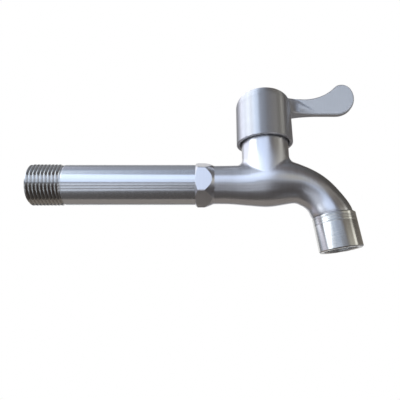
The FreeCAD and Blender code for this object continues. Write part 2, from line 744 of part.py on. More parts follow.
def make_disc(name, base, port_start, node, slotted):
    """A ceramic disc with two ports opposite each other."""
    plate = rod(f"{name}_plate", "cage_bore - 2 * face_gap", "disc_len", z=base)
    tools = [
        wedge_ring(f"{name}_port_a", "port_out", "port_in", "port_angle", port_start, "disc_len", base),
        wedge_ring(f"{name}_port_b", "port_out", "port_in", "port_angle", f"{port_start} + 180", "disc_len", base),
    ]
    if slotted:
        tools.append(
            block(
                f"{name}_slot",
                "cage_bore",
                "slot_width",
                "slot_deep",
                x="0 - cage_bore / 2",
                y="0 - slot_width / 2",
                z=f"{base} + disc_len - slot_deep",
            )
        )
    return keep(place(cut(name, plate, *tools), x="neck_x"), node)


def make_seat_seal():
    seal = turned(
        "seal",
        [
            ("seal_bore / 2", "seat_level"),
            ("cage_bore / 2 - face_gap", "seat_level"),
            ("cage_bore / 2 - face_gap", "disc_base"),
            ("seal_bore / 2", "disc_base"),
        ],
        x="neck_x",
    )
    return keep(seal, "seat_seal")


# Spindle and what turns with it
def ring_level(index):
    """Middle of one of the two o-rings, counted from the lower one."""
    return f"hex_base - ring_low + {index} * ring_spacing"


def make_spindle():
    groove = "stem_dia / 2 - ring_wire"
    profile = [("0", "flange_base"), ("flange_dia / 2", "flange_base"), ("flange_dia / 2", "flange_top")]
    profile.append(("stem_dia / 2", "flange_top"))
    for index in (0, 1):
        profile += [
            ("stem_dia / 2", f"{ring_level(index)} - ring_groove / 2"),
            (groove, f"{ring_level(index)} - ring_groove / 2"),
            (groove, f"{ring_level(index)} + ring_groove / 2"),
            ("stem_dia / 2", f"{ring_level(index)} + ring_groove / 2"),
        ]
    profile += [
        ("stem_dia / 2", "clip_base"),
        ("clip_groove / 2", "clip_base"),
        ("clip_groove / 2", "clip_base + clip_len"),
        ("stem_dia / 2", "clip_base + clip_len"),
        ("stem_dia / 2", "spline_foot - (stem_dia - spline_dia) / 2"),
        ("spline_dia / 2", "spline_foot"),
        ("spline_dia / 2", "spindle_top - stem_edge"),
        ("spline_dia / 2 - stem_edge", "spindle_top"),
        ("0", "spindle_top"),
    ]
    stem = turned("spindle_turned", profile)
    lug = wedge_ring(
        "spindle_lug",
        "cage_bore - 4 * face_gap",
        "flange_dia - 2 * run_out",
        "lug_angle",
        "0 - lug_angle / 2",
        "flange_len",
        "flange_base",
    )
    fork = block(
        "spindle_fork",
        "flange_dia",
        "slot_width - 2 * fit_gap",
        "window_len + slot_deep - face_gap",
        x="0 - flange_dia / 2",
        y="0 - slot_width / 2 + fit_gap",
        z="moving_top - slot_deep + face_gap",
    )
    screw_hole = rod("spindle_hole", "screw_dia", "screw_len + run_out", z="spindle_top - screw_len")
    grooves = spline_teeth("spindle_splines", "spline_dia", "spline_foot", "spline_len")
    body = cut("spindle_whole", fuse("spindle_solid", stem, lug, fork), screw_hole, grooves)
    return keep(place(body, x="neck_x"), "spindle")


def spline_teeth(name, dia, base, height, slack="0"):
    """V teeth round an axis that reach in from outside: they cut a stem or line a socket."""
    body = doc.addObject("PartDesign::Body", name)
    sketch = new_sketch(body, f"{name}_groove", "XY_Plane")
    half = f"(({dia}) * pi / 2 * spline_share / spline_count - {slack})"
    draw_polygon(
        sketch,
        [
            (f"({dia}) / 2 - spline_deep + {slack}", "0"),
            (f"({dia}) / 2 + spline_relief", f"0 - {half}"),
            (f"({dia}) / 2 + run_out", f"0 - {half}"),
            (f"({dia}) / 2 + run_out", half),
            (f"({dia}) / 2 + spline_relief", half),
        ],
    )
    pad = body.newObject("PartDesign::Pad", f"{name}_pad")
    pad.Profile = sketch
    tie(pad, Length=height)
    doc.recompute()
    wedges = [pad.Shape]
    count = int(number("spline_count"))
    holder = doc.addObject("Part::Feature", f"{name}_all")
    for step in range(1, count):
        turned_wedge = pad.Shape.copy()
        turned_wedge.rotate(Vector(0, 0, 0), Vector(0, 0, 1), 360 * step / count)
        wedges.append(turned_wedge)
    holder.Shape = Part.makeCompound(wedges)
    return place(holder, z=base)


def make_spindle_o_rings():
    rings = []
    for index in (0, 1):
        ring = doc.addObject("Part::Torus", f"o_ring_{index}")
        tie(ring, Radius1="stem_dia / 2 - ring_wire / 2", Radius2="ring_wire / 2 - fit_gap / 5")
        rings.append(place(ring, x="neck_x", z=ring_level(index)))
    pair = doc.addObject("Part::Compound", "o_rings")
    pair.Links = rings
    return keep(pair, "spindle_o_rings")


def make_glide_washer():
    washer = turned(
        "glide",
        [
            ("stem_dia / 2 + fit_gap", "flange_top"),
            ("cage_bore / 2 - 2 * face_gap", "flange_top"),
            ("cage_bore / 2 - 2 * face_gap", "flange_top + glide_len"),
            ("stem_dia / 2 + fit_gap", "flange_top + glide_len"),
        ],
        x="neck_x",
    )
    return keep(washer, "glide_washer")


def make_retaining_clip():
    ring = turned(
        "clip_ring",
        [
            ("clip_groove / 2 + clip_play", "clip_base"),
            ("clip_dia / 2", "clip_base"),
            ("clip_dia / 2", "clip_base + clip_len"),
            ("clip_groove / 2 + clip_play", "clip_base + clip_len"),
        ],
    )
    gap = block("clip_gap", "clip_dia", "clip_open", "clip_len", y="0 - clip_open / 2", z="clip_base")
    return keep(place(cut("clip", ring, gap), x="neck_x"), "retaining_clip")


# Lever: a hollow cast cap with a flat blade
BLADE_FAR = "blade_reach + run_out + (blade_height + 2 * run_out) * tan(root_lean)"
ROOT_FROM = "root_start - 2 * run_out"


def blade_outline(sketch):
    """The blade seen from the side: a straight lower edge, a round end and a hollow upper edge."""
    reach = number("blade_reach")
    bottom = number("blade_bottom")
    end_r = number("blade_end_round")
    tip_r = number("blade_tip_round")
    dip_r = number("blade_dip_round")
    end_c = Vector(reach - end_r, bottom + end_r, 0)
    tip_z = number("blade_top") - tip_r
    tip_c = Vector(end_c.x + math.sqrt((end_r - tip_r) ** 2 - (tip_z - end_c.y) ** 2), tip_z, 0)
    dip_x = number("blade_dip_reach")
    dip_c = Vector(dip_x, tip_c.y + math.sqrt((dip_r + tip_r) ** 2 - (tip_c.x - dip_x) ** 2), 0)
    low_z = dip_c.y - dip_r
    back_r = number("blade_back_round")
    back_c = Vector(dip_x, low_z + back_r, 0)
    root_x = number("root_start")
    meet_angle = -math.acos((number("root_meet") - dip_x) / back_r)
    turn_r = number("root_turn")
    turn_reach = back_r + turn_r
    turn_c = Vector(
        dip_x + turn_reach * math.cos(meet_angle),
        back_c.y + turn_reach * math.sin(meet_angle),
        0,
    )
    root_angle = math.acos((root_x - turn_c.x) / turn_r)
    root_z = turn_c.y + turn_r * math.sin(root_angle)
    up = Vector(0, 0, 1)
    out = math.atan2(tip_c.y - end_c.y, tip_c.x - end_c.x)
    over = math.atan2(dip_c.y - tip_c.y, dip_c.x - tip_c.x)
    sketch.addGeometry(Part.LineSegment(Vector(root_x, bottom, 0), Vector(end_c.x, bottom, 0)), False)
    sketch.addGeometry(Part.ArcOfCircle(Part.Circle(end_c, up, end_r), -math.pi / 2, out), False)
    sketch.addGeometry(Part.ArcOfCircle(Part.Circle(tip_c, up, tip_r), out, over), False)
    dip_arc = Part.ArcOfCircle(Part.Circle(dip_c, up, dip_r), -math.pi / 2, over - math.pi)
    sketch.addGeometry(dip_arc, False)
    back_arc = Part.ArcOfCircle(Part.Circle(back_c, up, back_r), meet_angle, -math.pi / 2)
    sketch.addGeometry(back_arc, False)
    turn_arc = Part.ArcOfCircle(Part.Circle(turn_c, up, turn_r), meet_angle + math.pi, root_angle)
    sketch.addGeometry(turn_arc, False)
    sketch.addGeometry(Part.LineSegment(Vector(root_x, root_z, 0), Vector(root_x, bottom, 0)), False)
    for rule in (
        ("Tangent", 0, 2, 1, 1),
        ("Tangent", 1, 2, 2, 1),
        ("Tangent", 2, 2, 3, 2),
        ("Tangent", 3, 1, 4, 2),
        ("Tangent", 4, 1, 5, 1),
        ("Coincident", 5, 2, 6, 1),
        ("Coincident", 6, 2, 0, 1),
        ("Horizontal", 0),
        ("Vertical", 6),
    ):
        sketch.addConstraint(Sketcher.Constraint(*rule))
    fix_point(sketch, 0, 1, "root_start", "blade_bottom", "foot")
    fix_point(sketch, 5, 1, "root_meet", None, "meet")
    fix_point(sketch, 3, 1, "blade_dip_reach", None, "low")
    fix_point(sketch, 1, 3, "blade_reach - blade_end_round", None, "end")
    fix_point(sketch, 2, 3, None, "blade_top - blade_tip_round", "tip")
    fix_point(sketch, 3, 3, "blade_dip_reach", None, "dip")
    fix_radius(sketch, 1, "blade_end_round", "end_r")
    fix_radius(sketch, 2, "blade_tip_round", "tip_r")
    fix_radius(sketch, 3, "blade_dip_round", "dip_r")
    fix_radius(sketch, 4, "blade_back_round", "back_r")
    fix_radius(sketch, 5, "root_turn", "turn_r")


def blade_plan(sketch):
    """The blade seen along the root's end: it widens along an arc from its even thickness."""
    half = number("blade_thick / 2")
    sweep = number("root_sweep")
    root_x = number(ROOT_FROM)
    end_x = number(BLADE_FAR)
    meet_x = number("root_end")
    root_y = half + sweep - math.sqrt(sweep**2 - (meet_x - root_x) ** 2)
    up = Vector(0, 0, 1)
    for side in (1, -1):
        centre = Vector(meet_x, side * (half + sweep), 0)
        start = math.atan2(side * (root_y - half - sweep), root_x - meet_x)
        finish = -side * math.pi / 2
        low, high = (start, finish) if side == 1 else (finish, start)
        sketch.addGeometry(Part.ArcOfCircle(Part.Circle(centre, up, sweep), low, high), False)
        far = Part.LineSegment(Vector(meet_x, side * half, 0), Vector(end_x, side * half, 0))
        sketch.addGeometry(far, False)
    sketch.addGeometry(Part.LineSegment(Vector(end_x, half, 0), Vector(end_x, -half, 0)), False)
    sketch.addGeometry(Part.LineSegment(Vector(root_x, -root_y, 0), Vector(root_x, root_y, 0)), False)
    for rule in (
        ("Tangent", 0, 2, 1, 1),
        ("Tangent", 2, 1, 3, 1),
        ("Coincident", 1, 2, 4, 1),
        ("Coincident", 4, 2, 3, 2),
        ("Coincident", 2, 2, 5, 1),
        ("Coincident", 5, 2, 0, 1),
        ("Horizontal", 1),
        ("Horizontal", 3),
        ("Vertical", 5),
    ):
        sketch.addConstraint(Sketcher.Constraint(*rule))
    fix_point(sketch, 1, 2, BLADE_FAR, "blade_thick / 2", "end_a")
    fix_point(sketch, 3, 2, BLADE_FAR, "0 - blade_thick / 2", "end_b")
    fix_point(sketch, 1, 1, "root_end", None, "meet_a")
    fix_point(sketch, 3, 1, "root_end", None, "meet_b")
    fix_point(sketch, 5, 1, ROOT_FROM, None, "root")
    fix_radius(sketch, 0, "root_sweep", "sweep_a")
    fix_radius(sketch, 2, "root_sweep", "sweep_b")


def make_blade():
    side = doc.addObject("PartDesign::Body", "blade_side")
    side_sketch = new_sketch(side, "blade_side_sketch", "XZ_Plane")
    blade_outline(side_sketch)
    side_pad = side.newObject("PartDesign::Pad", "blade_side_pad")
    side_pad.Profile = side_sketch
    side_pad.Midplane = True
    tie(side_pad, Length="root_width")
    plan = doc.addObject("PartDesign::Body", "blade_plan")
    plan_sketch = new_sketch(plan, "blade_plan_sketch", "XY_Plane")
    blade_plan(plan_sketch)
    lean = math.radians(number("root_lean"))
    plan_pad = doc.addObject("Part::Extrusion", "blade_plan_pad")
    plan_pad.Base = plan_sketch
    plan_pad.DirMode = "Custom"
    plan_pad.Dir = Vector(-math.sin(lean), 0, math.cos(lean))
    plan_pad.Solid = True
    tie(plan_pad, LengthFwd="(blade_height + 2 * run_out) / cos(root_lean)")
    place(plan_pad, z="blade_bottom - run_out")
    raw = common("blade_raw", side, plan_pad)
    doc.recompute()
    return fillet_edges("blade", raw, number("blade_edge"), rim_edges(raw))


def rim_edges(raw):
    """Numbers of the edges where the blade's sides meet its rim, without those of its inner end."""
    chosen = []
    for index, edge in enumerate(raw.Shape.Edges, start=1):
        spots = spots_on(edge)
        if max(spot.x for spot in spots) < number("root_start") + SAME:
            continue
        leans = []
        for face in raw.Shape.ancestorsOfType(edge, Part.Face):
            across, along = face.Surface.parameter(spots[2])
            leans.append(abs(face.normalAt(across, along).y))
        if min(leans) < 0.02 and max(leans) > 0.5:
            chosen.append(index)
    return chosen


def make_lever_outside():
    shell = turned(
        "cap_solid",
        [
            ("0", "cap_rim"),
            ("cap_dia / 2", "cap_rim"),
            ("cap_dia / 2 - cap_draft", "cap_top"),
            ("0", "cap_top"),
        ],
    )
    round_rims(shell, "cap_top_round", "cap_round", [("cap_dia / 2 - cap_draft", "cap_top")])
    round_rims(shell, "cap_rim_round", "rim_round", [("cap_dia / 2", "cap_rim")])
    blade = make_blade()
    joined = fuse("lever_joined", shell, blade)
    doc.recompute()
    seam = shared_edges(joined, shell, blade)
    return fillet_edges("lever_outside", joined, number("blade_root_round"), seam)


def make_lever_handle():
    cavity = turned(
        "cap_cavity",
        [
            ("0", "cap_rim - run_out"),
            ("cap_bore / 2", "cap_rim - run_out"),
            ("cap_bore / 2", "web_base - cap_crown"),
            ("cap_bore / 2 - cap_crown", "web_base"),
            ("0", "web_base"),
        ],
    )
    sleeve = turned(
        "cap_sleeve",
        [
            ("0", "insert_foot"),
            ("insert_dia / 2 + boss_wall", "insert_foot"),
            ("insert_dia / 2 + boss_wall", "web_base + run_out"),
            ("0", "web_base + run_out"),
        ],
    )
    socket = rod("cap_socket", "insert_dia + 2 * fit_gap", "web_base - spline_foot + run_out", z="spline_foot - run_out")
    through = rod("cap_hole", "screw_dia + 2 * screw_room", "cap_top", z="spline_foot")
    well = rod("cap_well", "head_well", "head_seat + run_out", z="screw_seat")
    room = cut("cap_room", cavity, sleeve)
    hollow = cut("lever_hollow", make_lever_outside(), room, socket, through, well)
    return keep(place(hollow, x="neck_x"), "lever_handle")


def make_spline_insert():
    sleeve = turned(
        "insert_ring",
        [
            ("spline_dia / 2 + fit_gap", "insert_foot"),
            ("insert_dia / 2", "insert_foot"),
            ("insert_dia / 2", "web_base"),
            ("spline_dia / 2 + fit_gap", "web_base"),
        ],
    )
    teeth = spline_teeth(
        "insert_splines",
        "spline_dia",
        "insert_foot",
        "spindle_top - insert_foot",
        "fit_gap",
    )
    return keep(place(fuse("insert", sleeve, teeth), x="neck_x"), "spline_insert")


def make_handle_screw():
    screw = turned(
        "screw_turned",
        [
            ("0", "screw_under - screw_len - 2 * screw_point"),
            ("screw_dia / 2 - screw_point", "screw_under - screw_len - 2 * screw_point"),
            ("screw_dia / 2 - fit_gap", "screw_under - screw_len"),
            ("screw_dia / 2 - fit_gap", "screw_under"),
            ("screw_head / 2", "screw_under"),
            ("screw_head / 2", "screw_under + screw_head_len / 2"),
            ("screw_head / 2 - screw_dome", "screw_under + screw_head_len"),
            ("0", "screw_under + screw_head_len"),
        ],
    )
    recess_from = "screw_under + screw_head_len - recess_deep"
    across = block(
        "screw_cross_a",
        "recess_span",
        "screw_slot",
        "screw_head_len",
        x="0 - recess_span / 2",
        y="0 - screw_slot / 2",
        z=recess_from,
    )
    along = block(
        "screw_cross_b",
        "screw_slot",
        "recess_span",
        "screw_head_len",
        x="0 - screw_slot / 2",
        y="0 - recess_span / 2",
        z=recess_from,
    )
    return keep(place(cut("screw", screw, across, along), x="neck_x"), "handle_screw")


def make_spring_washer():
    ring = turned(
        "spring_ring",
        [
            ("screw_dia / 2 + screw_room", "screw_seat"),
            ("screw_head / 2", "screw_seat"),
            ("screw_head / 2", "screw_under"),
            ("screw_dia / 2 + screw_room", "screw_under"),
        ],
    )
    split = block(
        "spring_washer_gap",
        "screw_head",
        "spring_split",
        "spring_washer_len",
        y="0 - spring_split / 2",
        z="screw_seat",
    )
    return keep(place(cut("spring_washer_cut", ring, split), x="neck_x"), "screw_spring_washer")


def make_top_plug():
    plug = turned(
        "plug",
        [
            ("0", "cap_top - plug_len"),
            ("head_well / 2 - fit_gap", "cap_top - plug_len"),
            ("head_well / 2 - fit_gap", "cap_top - face_gap"),
            ("head_well / 2 - plug_edge", "cap_top + plug_crown * 3 / 4"),
            ("0", "cap_top + plug_crown"),
        ],
        x="neck_x",
    )
    return keep(plug, "top_plug")


# Nozzle: a turned sleeve screwed on the spout's tip, with the aerator inside
def nozzle_turned(name, profile):
    """A piece turned about the nozzle's axis, with heights measured out from the spout's shoulder."""
    return turned(name, profile, x="nozzle_x", z="nozzle_z", turn="180 - nozzle_tilt")


def make_outlet_nozzle():
    sleeve = nozzle_turned(
        "nozzle",
        [
            ("tip_dia / 2 + fit_gap", "face_gap"),
            ("nozzle_dia / 2 - nozzle_edge", "face_gap"),
            ("nozzle_dia / 2", "face_gap + nozzle_edge"),
            ("nozzle_dia / 2", "nozzle_len - nozzle_edge"),
            ("nozzle_dia / 2 - nozzle_edge", "nozzle_len"),
            ("lip_dia / 2 + nozzle_edge", "nozzle_len"),
            ("lip_dia / 2", "nozzle_len - nozzle_edge"),
            ("lip_dia / 2", "insert_from + insert_len + fit_gap"),
            ("tip_dia / 2 + fit_gap", "insert_from + insert_len + fit_gap"),
        ],
    )
    return keep(sleeve, "outlet_nozzle")


def make_nozzle_washer():
    washer = nozzle_turned(
        "nozzle_washer_ring",
        [
            ("washer_bore / 2", "washer_from"),
            ("tip_dia / 2 - fit_gap", "washer_from"),
            ("tip_dia / 2 - fit_gap", "insert_from"),
            ("washer_bore / 2", "insert_from"),
        ],
    )
    return keep(washer, "nozzle_washer")


def make_aerator_insert():
    cup = nozzle_turned(
        "aerator_cup",
        [
            ("tip_dia / 2 - 3 * insert_wall", "insert_from"),
            ("tip_dia / 2 - fit_gap", "insert_from"),
            ("tip_dia / 2 - fit_gap", "insert_from + insert_wall"),
            ("mouth_dia / 2", "insert_from + insert_wall"),
            ("mouth_dia / 2", "insert_from + insert_len"),
            ("mouth_dia / 2 - insert_wall", "insert_from + insert_len"),
            ("mouth_dia / 2 - insert_wall", "insert_from + insert_wall"),
            ("tip_dia / 2 - 3 * insert_wall", "insert_from + insert_wall"),
        ],
    )
    return keep(cup, "aerator_insert")


def make_spray_plate():
    plate = rod("plate_disc", "plate_dia", "plate_len")
    holes = []
    outer = "(plate_dia / 2 - plate_rim)"
    for ring, counted in ((outer, "plate_outer_count"), (f"({outer} - plate_spacing)", "plate_inner_count")):
        for step in range(int(number(counted))):
            angle = f"360 * {step} / {counted}"
            hole = rod(
                f"hole_{counted}_{step}",
                "plate_hole",
                "plate_len",
                x=f"{ring} * cos({angle})",
                y=f"{ring} * sin({angle})",
            )
            holes.append(hole)
    plate = cut("plate", plate, *holes)
    place(
        plate,
        x="nozzle_x + plate_from * sin(nozzle_tilt)",
        z="nozzle_z - plate_from * cos(nozzle_tilt)",
        turn="180 - nozzle_tilt",
    )
    return keep(plate, "spray_plate")


def make_aerator_mesh():
    disc = rod("mesh_disc", "plate_dia", "mesh_len")
    pitch = number("mesh_pitch")
    reach = number("plate_dia / 2 - mesh_rim")
    openings = []
    count = int(reach / pitch)
    for row in range(-count, count + 1):
        for column in range(-count, count + 1):
            if math.hypot(row, column) * pitch > reach - pitch / 2:
                continue
            opening = block(
                f"mesh_opening_{row + count}_{column + count}",
                "mesh_pitch - mesh_bar",
                "mesh_pitch - mesh_bar",
                "mesh_len",
                x=f"{row} * mesh_pitch - (mesh_pitch - mesh_bar) / 2",
                y=f"{column} * mesh_pitch - (mesh_pitch - mesh_bar) / 2",
            )
            openings.append(opening)
    mesh = cut("mesh", disc, *openings)
    place(
        mesh,
        x="nozzle_x + mesh_from * sin(nozzle_tilt)",
        z="nozzle_z - mesh_from * cos(nozzle_tilt)",
        turn="180 - nozzle_tilt",
    )
    return keep(mesh, "aerator_mesh")


make_inlet_pipe()
make_tap_body()
make_headwork_gasket()
make_headwork_body()
make_disc("fixed", "disc_base", "0 - port_angle / 2", "fixed_ceramic_disc", False)
make_disc("moving", "moving_base", "90 - port_angle / 2", "moving_ceramic_disc", True)
make_seat_seal()
make_spindle()
make_spindle_o_rings()
make_glide_washer()
make_retaining_clip()
make_lever_handle()
make_spline_insert()
make_handle_screw()
make_spring_washer()
make_top_plug()
make_outlet_nozzle()
make_nozzle_washer()
make_aerator_insert()
make_spray_plate()
make_aerator_mesh()
doc.recompute()

faults = [f"{obj.Name}: {obj.State}" for obj in doc.Objects if {"Invalid", "Error"} & set(obj.State)]
for piece in NODES:
    if piece.Shape.isNull() or not piece.Shape.isValid() or not piece.Shape.Solids:
        faults.append(f"{piece.Label}: its shape is empty or not valid")
if faults:
    raise SystemExit("\n".join(faults))

os.makedirs("parts", exist_ok=True)
for piece in NODES:
    piece.Shape.exportStep(f"parts/{piece.Label}.step")
    box = piece.Shape.BoundBox
    low = ", ".join(f"{value:.2f}" for value in (box.XMin, box.YMin, box.ZMin))
    high = ", ".join(f"{value:.2f}" for value in (box.XMax, box.YMax, box.ZMax))
    print(f"{piece.Label}: {len(piece.Shape.Solids)} solid(s), {piece.Shape.Volume:.1f} mm3, [{low}] to [{high}]")
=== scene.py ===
# %% [markdown]
# A mop sink tap in satin stainless steel
#
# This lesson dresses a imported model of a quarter-turn tap. The model brings the
# exact solids, and Blender adds what a solid can't hold: a cut thread, woven wire,
# the grain of brushed steel, the marks of a lathe, and the light of a small studio.
# Everything is in metres, with the origin at the centre of the pipe's open end,
# +X along the pipe to the spout and +Z up the neck.

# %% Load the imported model
import math

import bmesh
import bpy
import numpy as np
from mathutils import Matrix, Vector


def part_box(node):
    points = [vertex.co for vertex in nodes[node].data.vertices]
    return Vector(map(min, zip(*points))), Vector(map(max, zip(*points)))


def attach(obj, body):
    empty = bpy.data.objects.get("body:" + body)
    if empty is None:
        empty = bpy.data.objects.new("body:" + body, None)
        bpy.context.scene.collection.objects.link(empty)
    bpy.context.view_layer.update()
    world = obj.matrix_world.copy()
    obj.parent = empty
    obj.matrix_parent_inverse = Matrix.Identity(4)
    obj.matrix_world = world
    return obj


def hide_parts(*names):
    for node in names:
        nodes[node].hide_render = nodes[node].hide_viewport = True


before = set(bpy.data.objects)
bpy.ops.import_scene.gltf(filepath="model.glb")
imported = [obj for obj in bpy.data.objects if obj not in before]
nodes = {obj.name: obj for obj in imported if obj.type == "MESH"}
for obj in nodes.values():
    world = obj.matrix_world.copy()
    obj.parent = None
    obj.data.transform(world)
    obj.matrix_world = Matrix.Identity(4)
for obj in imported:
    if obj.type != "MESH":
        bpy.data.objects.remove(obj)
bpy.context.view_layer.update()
MM = 0.001

# %% [markdown]
# The camera
#
# The tap was photographed from close by and a little from below: its round ends
# bulge the way things do in a wide view. A lens as long as the frame is wide, held
# 0.2 m away and tipped 16 degrees upwards, gives the same stretch. Moving nearer
# with a shorter lens would curve the pipe's end more, and a long lens not at all.

# %% Camera
CAMERA_PLACE = (0.0854, -0.19304, -0.06326)
CAMERA_TIP = math.radians(16)
# Both in millimetres, as on a real camera.
LENS = 36.0
FRAME_WIDTH = 36.0
camera_data = bpy.data.cameras.new("camera")
camera_data.lens = LENS
camera_data.sensor_width = FRAME_WIDTH
camera = bpy.data.objects.new("camera", camera_data)
camera.location = CAMERA_PLACE
camera.rotation_euler = (math.radians(90) + CAMERA_TIP, 0.0, 0.0)
bpy.context.scene.collection.objects.link(camera)
bpy.context.scene.camera = camera
bpy.context.scene.view_settings.view_transform = "Standard"
print("camera at", CAMERA_PLACE)

# %% [markdown]
# Helpers for shader trees
#
# A material is a small network of nodes. One function adds a node, sets its
# options and fills its inputs with values or with links from other nodes, so a
# whole tree reads as a list of lines. Colours are written as the hex values that
# a painter would pick from a screen, and one function makes them linear by the
# sRGB curve, which is straight near black and a power above it.


# %% Helpers for shader trees
def add_node(tree, kind, inputs=None, **options):
    """Add a node, set its options, and fill its inputs with values or links."""
    made = tree.nodes.new(kind)
    for name, value in options.items():
        setattr(made, name, value)
    for key, value in (inputs or {}).items():
        socket = made.inputs[key]
        if isinstance(value, bpy.types.NodeSocket):
            tree.links.new(value, socket)
        else:
            socket.default_value = value
    return made


def colour_of(hex_colour):
    """A hex colour as the four linear numbers that a socket takes."""
    parts = [int(hex_colour[place : place + 2], 16) / 255 for place in (1, 3, 5)]
    lit = [part / 12.92 if part <= 0.04045 else ((part + 0.055) / 1.055) ** 2.4 for part in parts]
    return (*lit, 1.0)


print("middle grey as a linear colour:", [round(part, 3) for part in colour_of("#808080")])

# %% [markdown]
# The room by direction
#
# Polished metal has no colour of its own to show: what the eye reads as steel is
# the room mirrored in it. Lamps alone would leave the steel black between their
# reflections, as it is in an empty studio. The room here is painted into the world
# by direction, with two angles in degrees: the turn to the right of straight at the
# camera, and the rise above the horizon.

# %% The room by direction
world = bpy.data.worlds.new("studio_room")
bpy.context.scene.world = world
world.use_nodes = True
room = world.node_tree
room.nodes.clear()
heading = add_node(room, "ShaderNodeTexCoord").outputs["Generated"]
parts = add_node(room, "ShaderNodeSeparateXYZ", {"Vector": heading}).outputs
toward_camera = add_node(
    room, "ShaderNodeMath", {0: parts["Y"], 1: -1.0}, operation="MULTIPLY"
).outputs[0]
turn_angle = add_node(
    room, "ShaderNodeMath", {0: parts["X"], 1: toward_camera}, operation="ARCTAN2"
).outputs[0]
turn = add_node(room, "ShaderNodeMath", {0: turn_angle}, operation="DEGREES").outputs[0]
rise_angle = add_node(room, "ShaderNodeMath", {0: parts["Z"]}, operation="ARCSINE").outputs[0]
rise = add_node(room, "ShaderNodeMath", {0: rise_angle}, operation="DEGREES").outputs[0]
print("direction nodes:", len(room.nodes))

# %% [markdown]
# Walls, ceiling and sky
#
# The walls are grey and darken to a warm brown towards the ground. Everything else
# in the room is a soft-edged pane, laid over what is there already, so that no edge
# looks cut out. The first panes are the ceiling and the pale sky in front.


# %% Walls, ceiling and sky
def lay_pane(base, limits, colour, power=1.0, weight=None):
    """Lay a pane over the room. Each angle's four limits run dark, lit, lit, dark."""
    share = weight
    for angle, (out_low, in_low, in_high, out_high) in limits:
        for dark, lit in ((out_low, in_low), (out_high, in_high)):
            edge = add_node(
                room,
                "ShaderNodeMapRange",
                {"Value": angle, "From Min": dark, "From Max": lit},
                interpolation_type="SMOOTHSTEP",
            ).outputs["Result"]
            if share is None:
                share = edge
            else:
                both = {0: share, 1: edge}
                share = add_node(room, "ShaderNodeMath", both, operation="MULTIPLY").outputs[0]
    lit_colour = [power * part for part in colour_of(colour)[:3]] + [1.0]
    laid = {0: share, 6: base, 7: lit_colour}
    return add_node(room, "ShaderNodeMix", laid, data_type="RGBA").outputs[2]


wall_height = add_node(
    room, "ShaderNodeMapRange", {"Value": rise, "From Min": -85.0, "From Max": 12.0}
).outputs["Result"]
wall_colours = {0: wall_height, 6: colour_of("#5B5754"), 7: colour_of("#9C9EA3")}
scene_light = add_node(room, "ShaderNodeMix", wall_colours, data_type="RGBA").outputs[2]
CEILING_RISE = (45.0, 75.0, 90.0, 91.0)
scene_light = lay_pane(scene_light, [(rise, CEILING_RISE)], "#ADB2BA")
SKY_TURN = (-140.0, -120.0, 40.0, 80.0)
SKY_RISE = (-12.0, 6.0, 60.0, 84.0)
scene_light = lay_pane(scene_light, [(turn, SKY_TURN), (rise, SKY_RISE)], "#C9D6EC", power=0.82)
print("room nodes with walls and sky:", len(room.nodes))

# %% [markdown]
# The blind
#
# The pipe shows fine light and dark lines along its front. They are the slats of a
# blind that it mirrors. A wave of the rise, one slat every 15 degrees, weighs the
# pane down between the slats.

# %% The blind
SLAT_STEP = 15.0
SLAT_MIDDLE = 2.0
BLIND_TURN = (-100.0, -60.0, -10.0, 6.0)
BLIND_RISE = (-57.0, -45.0, -7.0, 2.0)
slat_wave = add_node(
    room,
    "ShaderNodeMath",
    {0: rise, 1: math.tau / SLAT_STEP, 2: -SLAT_MIDDLE * math.tau / SLAT_STEP},
    operation="MULTIPLY_ADD",
).outputs[0]
slat_cosine = add_node(room, "ShaderNodeMath", {0: slat_wave}, operation="COSINE").outputs[0]
slats = add_node(
    room,
    "ShaderNodeMapRange",
    {"Value": slat_cosine, "From Min": -0.6, "From Max": 0.7, "To Min": 0.12},
    interpolation_type="SMOOTHSTEP",
).outputs["Result"]
blind_limits = [(turn, BLIND_TURN), (rise, BLIND_RISE)]
scene_light = lay_pane(scene_light, blind_limits, "#E4ECF8", power=1.5, weight=slats)
print("slats:", round((BLIND_RISE[3] - BLIND_RISE[0]) / SLAT_STEP))

# %% [markdown]
# What stands round the tap
#
# The rest of the room is a table of panes. On the right, where the cap and the
# spout turn away from the light, the wall is dim and has a dark doorway, with one
# bright strip in a lit patch. On the left are the window, which gives the cap and
# the neck their white streaks, and the pale walls and curtain beside it.

